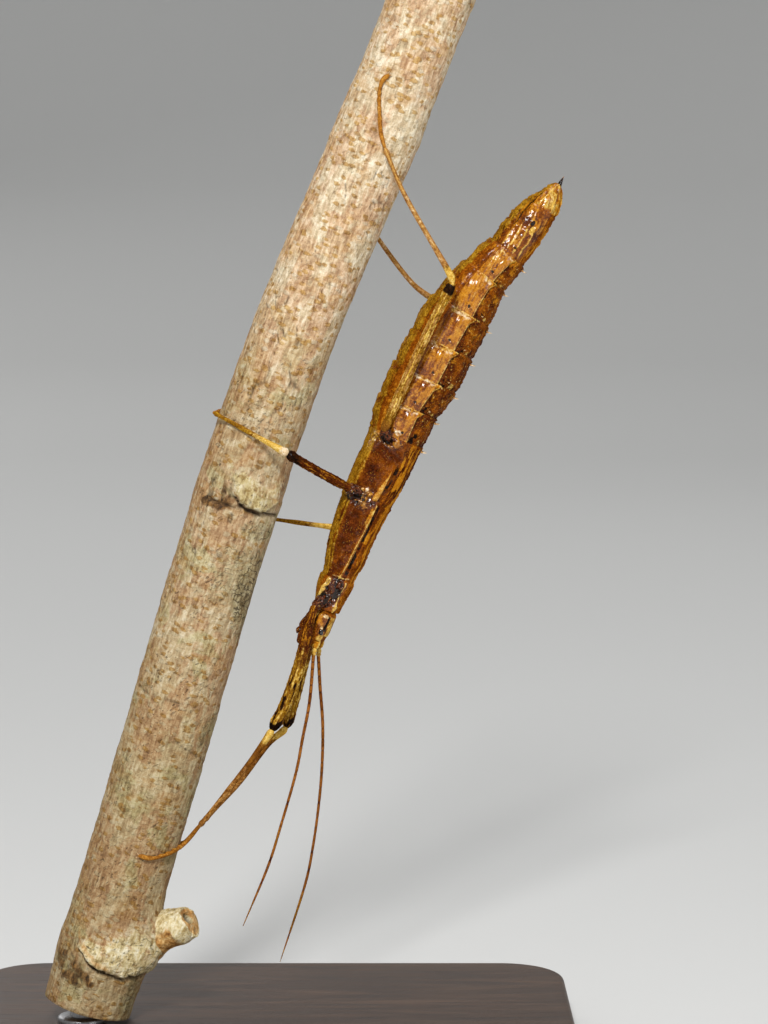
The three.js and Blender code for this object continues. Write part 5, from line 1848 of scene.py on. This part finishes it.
hand_in(base_plate(), stained_wood(), "stand_wood", "stand_base")

# The rod goes in line with the branch, from inside its sawn foot down into the base.
ROD_BELOW, ROD_INSIDE = 4.6, 1.0
COLLAR_RADII = [(0, 3.3), (0.55, 3.3), (0.85, 3.15), (1, 2.8)]
COLLAR_TALL = 1.0

branch_foot = np.array(BRANCH_FOOT, float)
rod_low = branch_foot - branch_line.heading[0] * ROD_BELOW
rod_high = branch_foot + branch_line.heading[0] * ROD_INSIDE
rod_knots = [rod_low, (rod_low + rod_high) / 2, rod_high]
rod = limb("rod", rod_knots, [(0, ROD_RADIUS), (1, ROD_RADIUS)], (12,), 64)
collar_knots = [(rod_low[0] + 0.55, 0, BASE_THICK - 0.05 + COLLAR_TALL * share) for share in (0, 0.5, 1)]
collar = limb("collar", collar_knots, COLLAR_RADII, (12,), 64)
hand_in(join("rod_and_collar", [rod, collar]), brushed_steel(), "stand_metal", "stand_rod")

# ---------------------------------------------------------------------------------------------
# The studio, in metres: a pale floor that sweeps up far away, and soft lights
# ---------------------------------------------------------------------------------------------

# How far out the floor's rings are, and how high.
SWEEP = [(1.2, 0.0), (1.5, 0.04), (1.8, 0.16), (2.1, 0.45), (2.25, 0.9), (2.3, 1.4)]

bpy.ops.object.select_all(action="DESELECT")
bpy.ops.mesh.primitive_circle_add(vertices=48, radius=1.0, fill_type="TRIFAN")
floor = bpy.context.object
floor.name = "floor"
bpy.ops.object.mode_set(mode="EDIT")
bpy.ops.mesh.select_mode(type="EDGE")
was_radius, was_height = 1.0, 0.0
for sweep_radius, sweep_height in SWEEP:
    bpy.ops.mesh.select_all(action="DESELECT")
    shape = bmesh.from_edit_mesh(floor.data)
    for edge in shape.edges:
        edge.select = edge.is_boundary
    bmesh.update_edit_mesh(floor.data)
    bpy.ops.mesh.extrude_region_move(TRANSFORM_OT_translate={"value": (0, 0, sweep_height - was_height)})
    ratio = sweep_radius / was_radius
    bpy.ops.transform.resize(value=(ratio, ratio, 1), center_override=(0, 0, 0))
    was_radius, was_height = sweep_radius, sweep_height
bpy.ops.object.mode_set(mode="OBJECT")
bpy.ops.object.shade_smooth()
floor.data.materials.append(pale_floor())


def soft_light(name, place, aim, size, power, colour=(1, 1, 1)):
    bpy.ops.object.select_all(action="DESELECT")
    bpy.ops.object.light_add(type="AREA", location=place)
    light = bpy.context.object
    light.name = name
    light.data.shape = "DISK"
    light.data.size = size
    light.data.energy = power
    light.data.color = colour
    way = np.array(aim) - np.array(place)
    flat = math.hypot(way[0], way[1])
    light.rotation_euler = (math.atan2(flat, -way[2]), 0, math.atan2(-way[0], way[1]))
    return light


AIM = (0.012, 0, 0.085)
soft_light("key_light", (-0.06, -0.57, 0.46), AIM, 0.13, 3.9)
soft_light("fill_light", (1.2, -0.8, 0.45), AIM, 0.6, 3.0)
soft_light("top_light", (0.1, 0.25, 1.7), AIM, 1.0, 9)
soft_light("back_light", (-0.6, 1.3, 0.8), AIM, 0.8, 2.5)

world = bpy.context.scene.world or bpy.data.worlds.new("studio")
bpy.context.scene.world = world
world.use_nodes = True
world.node_tree.nodes["Background"].inputs["Color"].default_value = (0.93, 0.94, 0.96, 1)
world.node_tree.nodes["Background"].inputs["Strength"].default_value = 0.27
bpy.context.scene.view_settings.view_transform = "Standard"
